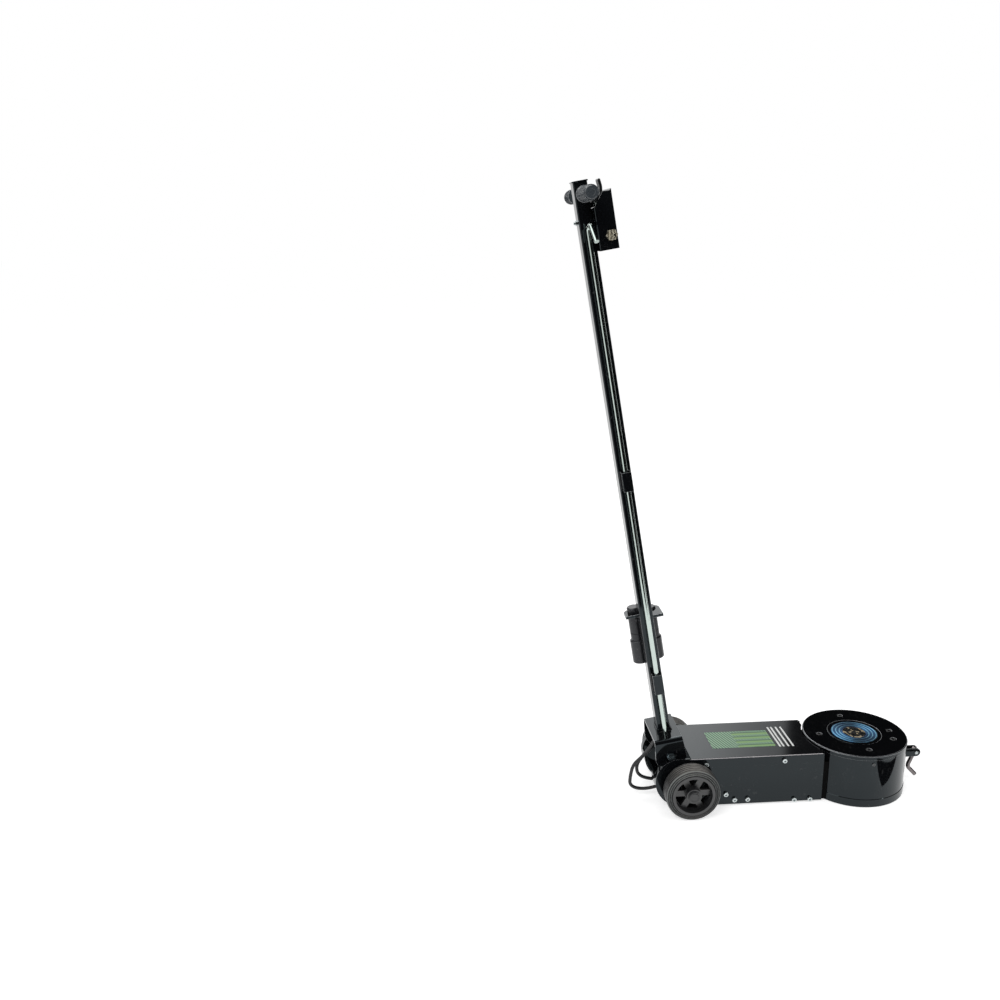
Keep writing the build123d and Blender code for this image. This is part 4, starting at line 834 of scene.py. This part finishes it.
# Radius and distance from the near end, in millimetres, then the same from the outer end
GRIP_FLANGE = ((11.1, 0.0), (16.6, 0.0), (17.5, 0.9), (17.5, 3.1), (16.6, 4.0), (14.2, 5.0))
GRIP_TIP = ((14.9, 7.8), (14.9, 4.6), (13.6, 4.0), (13.6, 3.2), (13.0, 2.8), (12.6, 0.8), (11.8, 0.0),
            (7.2, 0.0), (6.4, 0.9), (2.4, 0.9))
GRIP_STEPS = 16
# Height of the cross tube along the handle
CROSS_TUBE_S = 1.267


class JACK_OT_grips(bpy.types.Operator):
    """Model a grip with a flange, a diamond knurl and a ringed end, once for each side"""
    bl_idname = "jack.grips"
    bl_label = "Grips"

    def execute(self, context):
        radius = sizes().grip_radius
        start, end = (GRIP_LOW + GRIP_PLAIN_LOW) * MM, (GRIP_HIGH - GRIP_PLAIN_HIGH) * MM
        profile = in_metres((radius_mm, GRIP_LOW + back) for radius_mm, back in GRIP_FLANGE)
        profile += [(radius, start + (end - start) * step / GRIP_STEPS) for step in range(GRIP_STEPS + 1)]
        profile += in_metres((radius_mm, GRIP_HIGH - back) for radius_mm, back in GRIP_TIP)
        grip = turned(profile, sizes().knurl_count)
        cap(grip, profile[-1][1])
        knurl(grip, start, end, sizes().knurl_height)
        for name, sign in (("grip_near", 1), ("grip_far", -1)):
            piece = twin(grip, "dressed_" + name)
            turn = Matrix.Rotation(math.radians(90 * sign), 4, "X")
            place(piece, HANDLE @ Matrix.Translation((0, 0, CROSS_TUBE_S)) @ turn)
            settle(piece, "dressed_" + name, "grip rubber", "handle", 38.0)
            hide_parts(name)
        bpy.data.objects.remove(grip)
        return {"FINISHED"}


def knurl(piece, low, high, height):
    """Cut a band of quads into diamonds and raise a point on each."""
    pick_faces(piece, lambda centre, normal: low < centre.z < high)
    bpy.ops.mesh.poke(offset=0.0)
    leave()
    points = piece.data.vertices
    crossings = {}
    for line in piece.data.edges:
        for end in line.vertices:
            crossings[end] = crossings.get(end, 0) + 1

    def straight(a, b):
        """An edge of the first quads: neither end is one of the new middles, where four edges meet."""
        inside = low + TINY < (points[a].co.z + points[b].co.z) / 2 < high - TINY
        return inside and crossings[a] != 4 and crossings[b] != 4

    pick_edges(piece, straight)
    bpy.ops.mesh.dissolve_edges(use_verts=False)
    leave()
    pick_faces(piece, lambda centre, normal: low < centre.z < high and abs(normal.z) < 0.3)
    bpy.ops.mesh.poke(offset=height)
    leave()


# Half of a tyre's profile, as radius and distance from its middle in millimetres: the side wall's
# rings from the rim to the shoulder, the places of the tread's grooves, and a groove's shape
TYRE_BEAD_R = 49.1
TYRE_SIDE = (
    (TYRE_BEAD_R, 20.4), (49.7, 21.3), (50.6, 21.8), (51.5, 21.6), (52.1, 20.8), (52.5, 20.0),
    (53.1, 20.0), (53.6, 20.9), (54.4, 21.6), (55.4, 21.6), (56.1, 20.8), (56.5, 20.0), (57.1, 20.0),
    (57.6, 20.7), (58.5, 20.9), (59.8, 20.1), (61.2, 18.4), (62.2, 16.4),
)
TYRE_GROOVES = (14.0, 7.0, 0.0)
GROOVE_SIDE = ((62.5, 0.9), (61.9, 0.7), (60.9, 0.6))


class JACK_OT_tyres(bpy.types.Operator):
    """Turn a tyre with ringed side walls and a grooved tread, once for each wheel"""
    bl_idname = "jack.tyres"
    bl_label = "Tyres"

    def execute(self, context):
        half = [(TYRE_BEAD_R, 0.0), *TYRE_SIDE]
        for middle in TYRE_GROOVES:
            half += [(r, middle + off) for r, off in GROOVE_SIDE]
            if middle:
                half += [(r, middle - off) for r, off in reversed(GROOVE_SIDE)]
        profile = half + [(r, -z) for r, z in reversed(half)]
        tyre = turned(in_metres(profile), sizes().tyre_sides, closed=True)
        for name, y in (("near", -WHEEL_OUT), ("far", WHEEL_OUT)):
            piece = twin(tyre, "dressed_tyre_" + name)
            spot = Vector((WHEEL.x, y, WHEEL.z))
            place(piece, Matrix.Translation(spot) @ Matrix.Rotation(math.radians(90), 4, "X"))
            settle(piece, "dressed_tyre_" + name, "tyre rubber", "wheel_" + name, 40.0)
            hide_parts("tyre_" + name)
        bpy.data.objects.remove(tyre)
        return {"FINISHED"}


# The cover's top, and the panel and stripes on it: opposite corners of the panel on X and Y, the
# stripes' places on X, half a stripe's width and its ends on Y, and how far each stands up
COVER_TOP = 0.125
PANEL = ((-0.356, -0.040), (-0.205, 0.038))
PANEL_T = 0.0003
STRIPES = (-0.1955, -0.1870, -0.1755, -0.1640)
STRIPE_HALF = 0.0022
STRIPE_ENDS = (-0.044, 0.052)
STRIPE_T = 0.0002


class JACK_OT_markings(bpy.types.Operator):
    """Lay the blank panel and the four stripes on the top cover"""
    bl_idname = "jack.markings"
    bl_label = "Panel and stripes"

    def execute(self, context):
        panel = slab((*PANEL[0], COVER_TOP), (*PANEL[1], COVER_TOP + PANEL_T), 0.002)
        settle(panel, "label_panel", "panel print", "chassis")
        for number, x in enumerate(STRIPES, 1):
            low = (x - STRIPE_HALF, STRIPE_ENDS[0], COVER_TOP)
            high = (x + STRIPE_HALF, STRIPE_ENDS[1], COVER_TOP + STRIPE_T)
            stripe = slab(low, high, 0.0004, 2)
            settle(stripe, f"stripe_{number}", "stripe paint", "chassis")
        return {"FINISHED"}


# Weld beads on the handle, in millimetres out from it, across it and along it
HANDLE_WELDS = {
    "weld_yoke": ((-12, 22.6, 44.5), (12, 22.6, 44.5), (17.6, 17, 44.5), (17.6, -17, 44.5),
                  (12, -22.6, 44.5), (-12, -22.6, 44.5)),
    "weld_clip_upper": ((-11.4, -20.6, 642), (-11.4, -20.6, 681)),
    "weld_clip_lower": ((-11.4, -20.6, 153), (-11.4, -20.6, 197)),
    "weld_rack": ((-10, 20.8, 328.4), (10, 20.8, 328.4)),
}
# The bead of each pivot lug round the axle tube, and the bead under the hook's lug
LUG_WELD_OUT, LUG_WELD_R = 0.0296, 0.0154
HOOK_WELD = ((119.4, -12.4, 63.4), (119.4, 12.4, 63.4))


class JACK_OT_welds(bpy.types.Operator):
    """Run weld beads where the yoke, clips, rack, pivot lugs and hook lug are joined"""
    bl_idname = "jack.welds"
    bl_label = "Welds"

    def execute(self, context):
        for name, points in HANDLE_WELDS.items():
            self.run(name, [HANDLE @ Vector(point) for point in in_metres(points)], "handle")
        for name, y in (("weld_lug_near", -LUG_WELD_OUT), ("weld_lug_far", LUG_WELD_OUT)):
            self.run(name, ring_points((WHEEL.x, y, WHEEL.z), LUG_WELD_R), "chassis")
        self.run("weld_hook_lug", in_metres(HOOK_WELD), "chassis")
        return {"FINISHED"}

    def run(self, name, points, body):
        settle(bead(points), name, "weld metal", body, 50.0)


# Stage and camera. The camera's place, its angles in degrees, and its lens in the photo's pixels
CAMERA_AT = (-0.9905, -2.1383, 1.2952)
AZIMUTH, PITCH, ROLL = -3.88, 14.79, -0.66
FOCAL_PIXELS = 1010.03
SHIFT_PIXELS = 0.8
FRAME_PIXELS = 1000
SENSOR = 36.0
LAMPS = (
    # place, aim, size, power
    ((-2.4, -2.8, 3.6), (-0.3, 0.0, 0.4), 1.6, 60.0),
    ((2.6, -1.8, 2.8), (-0.2, 0.0, 0.4), 1.2, 24.0),
    ((-0.6, 3.0, 3.6), (-0.3, 0.0, 0.5), 1.6, 30.0),
)
CARDS = (
    # foot of the inner edge, level direction, width, lean in degrees
    ((-1.30, -0.80), (1.0, 0.0), 2.75, -10.5),
    ((-1.73, 0.38), (0.79, 0.61), 0.8, 0.0),
    ((1.46, -0.80), (0.0, 1.0), 2.2, 0.0),
)
CARD_HEIGHT = 1.9
# Corners on X and Y of the card that lies before the shell
FLOOR_CARD = ((0.127, -0.339), (0.298, -0.121), (0.093, -0.176))
WORLD_LIGHT = 0.5
FLOOR_GLOW = 0.6
FLOOR_R = 60.0
# The floor lies a little under the tyres, and its card a little over it
FLOOR_Z, FLOOR_CARD_Z = -0.0004, 0.0006
# Sines of the heights between which the white walls end
WALL_EDGE = (0.30, 0.215)
# Level direction of the ceiling's bright side, where its edge lies and where it gains strength
BRIGHT_SIDE = (-0.937, 0.350)
SIDE_EDGE = (-0.0130, -0.0055)
SIDE_FADE = (-0.01, 0.085)
# Share of its strength that the bright side has at its edge
SIDE_SHARE = 0.45
# Dark and bright strength of the ceiling
CEILING = (0.006, 1.9)


def context_piece(name):
    """The piece just made, with its name."""
    piece = bpy.context.object
    piece.name = name
    piece.data.name = name
    return piece


def seen_share(tree, amount):
    """The amount on camera, glossy and transmission rays, and nothing on others."""
    rays = tree.nodes.new("ShaderNodeLightPath")
    shown = math_node(tree, "MAXIMUM", rays.outputs["Is Camera Ray"], rays.outputs["Is Glossy Ray"])
    shown = math_node(tree, "MAXIMUM", shown, rays.outputs["Is Transmission Ray"])
    return math_node(tree, "MULTIPLY", shown, amount)


def ramp(tree, value, start, end):
    """A smooth step from 0 at start to 1 at end."""
    node = tree.nodes.new("ShaderNodeMapRange")
    node.interpolation_type = "SMOOTHSTEP"
    tree.links.new(value, node.inputs["Value"])
    node.inputs["From Min"].default_value = start
    node.inputs["From Max"].default_value = end
    return node.outputs[0]


class JACK_OT_stage(bpy.types.Operator):
    """Lay the pale floor and set the lights, world and camera"""
    bl_idname = "jack.stage"
    bl_label = "Stage"

    def execute(self, context):
        scene = context.scene
        self.floor()
        self.cards()
        self.world(scene)
        for place_at, aim, size, power in LAMPS:
            lamp = bpy.data.lights.new("softbox", "AREA")
            lamp.shape = "SQUARE"
            lamp.size = size
            lamp.energy = power
            box = bpy.data.objects.new("softbox", lamp)
            box.location = place_at
            box.rotation_euler = (Vector(aim) - Vector(place_at)).to_track_quat("-Z", "Y").to_euler()
            scene.collection.objects.link(box)
        self.camera(scene)
        scene.view_settings.view_transform = "Standard"
        return {"FINISHED"}

    def floor(self):
        """A wide pale floor that glows a little to the camera and in reflections."""
        bpy.ops.object.select_all(action="DESELECT")
        bpy.ops.mesh.primitive_circle_add(
            vertices=96, radius=FLOOR_R, fill_type="NGON", location=(0, 0, FLOOR_Z))
        floor = context_piece("floor")
        bpy.ops.object.transform_apply(location=True, rotation=True, scale=True)
        material = self.matt("floor paper", (0.8, 0.8, 0.8, 1))
        shader = material.node_tree.nodes["Principled BSDF"]
        glow = seen_share(material.node_tree, FLOOR_GLOW)
        material.node_tree.links.new(glow, shader.inputs["Emission Strength"])
        shader.inputs["Emission Color"].default_value = (1, 1, 1, 1)
        floor.data.materials.append(material)

    def matt(self, name, colour):
        """A material with one colour and no gloss."""
        material = bpy.data.materials.new(name)
        material.use_nodes = True
        shader = material.node_tree.nodes["Principled BSDF"]
        shader.inputs["Base Color"].default_value = colour
        shader.inputs["Roughness"].default_value = 1.0
        shader.inputs["Specular IOR Level"].default_value = 0.0
        return material

    def cards(self):
        """Dark cards beside the handle and before the shell, which only show as dark reflections."""
        material = self.matt("card felt", (0.01, 0.01, 0.01, 1))
        for number, (foot, along, width, lean) in enumerate(CARDS, 1):
            bpy.ops.object.select_all(action="DESELECT")
            bpy.ops.mesh.primitive_plane_add(size=1, location=(0, 0, 0))
            card = context_piece(f"card_{number}")
            size = Matrix.Diagonal((width, CARD_HEIGHT, 1, 1))
            stand = Matrix.Rotation(math.radians(90), 4, "X") @ size @ Matrix.Translation((0.5, 0.5, 0))
            turn = Matrix.Rotation(math.atan2(along[1], along[0]), 4, "Z")
            tilt = Matrix.Rotation(math.radians(lean), 4, "Y")
            place(card, Matrix.Translation((*foot, 0)) @ turn @ tilt @ stand)
            self.hide(card, material)
        bpy.ops.object.select_all(action="DESELECT")
        bpy.ops.mesh.primitive_circle_add(vertices=3, radius=1.0, fill_type="NGON")
        card = context_piece("card_floor")
        for point, corner in zip(card.data.vertices, FLOOR_CARD):
            point.co = (*corner, FLOOR_CARD_Z)
        self.hide(card, material)

    def hide(self, card, material):
        """Leave a card to the reflections alone."""
        card.data.materials.append(material)
        for kind in ("camera", "diffuse", "shadow", "transmission", "volume_scatter"):
            setattr(card, "visible_" + kind, False)

    def world(self, scene):
        """An even light for the surfaces, and the studio for the camera and reflections."""
        world = bpy.data.worlds.new("studio")
        world.use_nodes = True
        scene.world = world
        tree = world.node_tree
        light = tree.nodes["Background"]
        light.inputs["Color"].default_value = (1, 1, 1, 1)
        light.inputs["Strength"].default_value = WORLD_LIGHT
        seen = tree.nodes.new("ShaderNodeBackground")
        seen.inputs["Color"].default_value = (1, 1, 1, 1)
        tree.links.new(self.studio(tree), seen.inputs["Strength"])
        mix = tree.nodes.new("ShaderNodeMixShader")
        tree.links.new(seen_share(tree, 1.0), mix.inputs[0])
        tree.links.new(light.outputs[0], mix.inputs[1])
        tree.links.new(seen.outputs[0], mix.inputs[2])
        tree.links.new(mix.outputs[0], tree.nodes["World Output"].inputs["Surface"])

    def studio(self, tree):
        """White walls up to a height, and above them a dark ceiling with one bright side."""
        way = tree.nodes.new("ShaderNodeSeparateXYZ")
        tree.links.new(tree.nodes.new("ShaderNodeTexCoord").outputs["Generated"], way.inputs[0])
        wall = ramp(tree, way.outputs["Z"], *WALL_EDGE)
        across = math_node(tree, "ADD", math_node(tree, "MULTIPLY", way.outputs["X"], BRIGHT_SIDE[0]),
                           math_node(tree, "MULTIPLY", way.outputs["Y"], BRIGHT_SIDE[1]))
        full = math_node(tree, "MULTIPLY_ADD", ramp(tree, across, *SIDE_FADE), 1.0 - SIDE_SHARE)
        full.node.inputs[2].default_value = SIDE_SHARE
        side = math_node(tree, "MULTIPLY", ramp(tree, across, *SIDE_EDGE), full)
        ceiling = math_node(tree, "MULTIPLY_ADD", side, CEILING[1] - CEILING[0])
        ceiling.node.inputs[2].default_value = CEILING[0]
        above = math_node(tree, "MULTIPLY", ceiling, math_node(tree, "SUBTRACT", 1.0, wall))
        return math_node(tree, "ADD", wall, above)

    def camera(self, scene):
        """The photo's camera."""
        turn, pitch = math.radians(AZIMUTH), math.radians(PITCH)
        right = Vector((math.cos(turn), math.sin(turn), 0))
        level = math.cos(pitch)
        back = Vector((math.sin(turn) * level, -math.cos(turn) * level, math.sin(pitch)))
        up = back.cross(right)
        look = Matrix((right, up, back)).transposed()
        look = look @ Matrix.Rotation(math.radians(ROLL), 3, "Z")
        lens = bpy.data.cameras.new("camera")
        lens.sensor_width = SENSOR
        lens.lens = FOCAL_PIXELS / FRAME_PIXELS * SENSOR
        lens.shift_y = SHIFT_PIXELS / FRAME_PIXELS
        lens.clip_end = 200.0
        camera = bpy.data.objects.new("camera", lens)
        camera.matrix_world = Matrix.Translation(CAMERA_AT) @ look.to_4x4()
        scene.collection.objects.link(camera)
        scene.camera = camera


class JACK_PT_panel(bpy.types.Panel):
    """The steps that dress the jack, in order"""
    bl_label = "Air Hydraulic Jack"
    bl_idname = "JACK_PT_panel"
    bl_space_type = "VIEW_3D"
    bl_region_type = "UI"
    bl_category = "Jack"

    def draw(self, context):
        for step in STEPS:
            self.layout.operator(step.bl_idname)
        for group_name in ("jack_sizes", "jack_colours"):
            settings = getattr(context.scene, group_name)
            for name in settings.__annotations__:
                self.layout.prop(settings, name)


STEPS = (
    JACK_OT_finishes, JACK_OT_soft_edges, JACK_OT_hoses, JACK_OT_grips, JACK_OT_tyres, JACK_OT_markings,
    JACK_OT_welds, JACK_OT_stage,
)
CLASSES = (JackSizes, JackColours) + STEPS + (JACK_PT_panel,)


def register():
    for item in CLASSES:
        bpy.utils.register_class(item)
    bpy.types.Scene.jack_sizes = PointerProperty(type=JackSizes)
    bpy.types.Scene.jack_colours = PointerProperty(type=JackColours)


def unregister():
    del bpy.types.Scene.jack_sizes
    del bpy.types.Scene.jack_colours
    for item in reversed(CLASSES):
        bpy.utils.unregister_class(item)


def main():
    register()
    bpy.ops.jack.finishes()
    bpy.ops.jack.soft_edges()
    bpy.ops.jack.hoses()
    bpy.ops.jack.grips()
    bpy.ops.jack.tyres()
    bpy.ops.jack.markings()
    bpy.ops.jack.welds()
    bpy.ops.jack.stage()


if __name__ == "__main__":
    main()
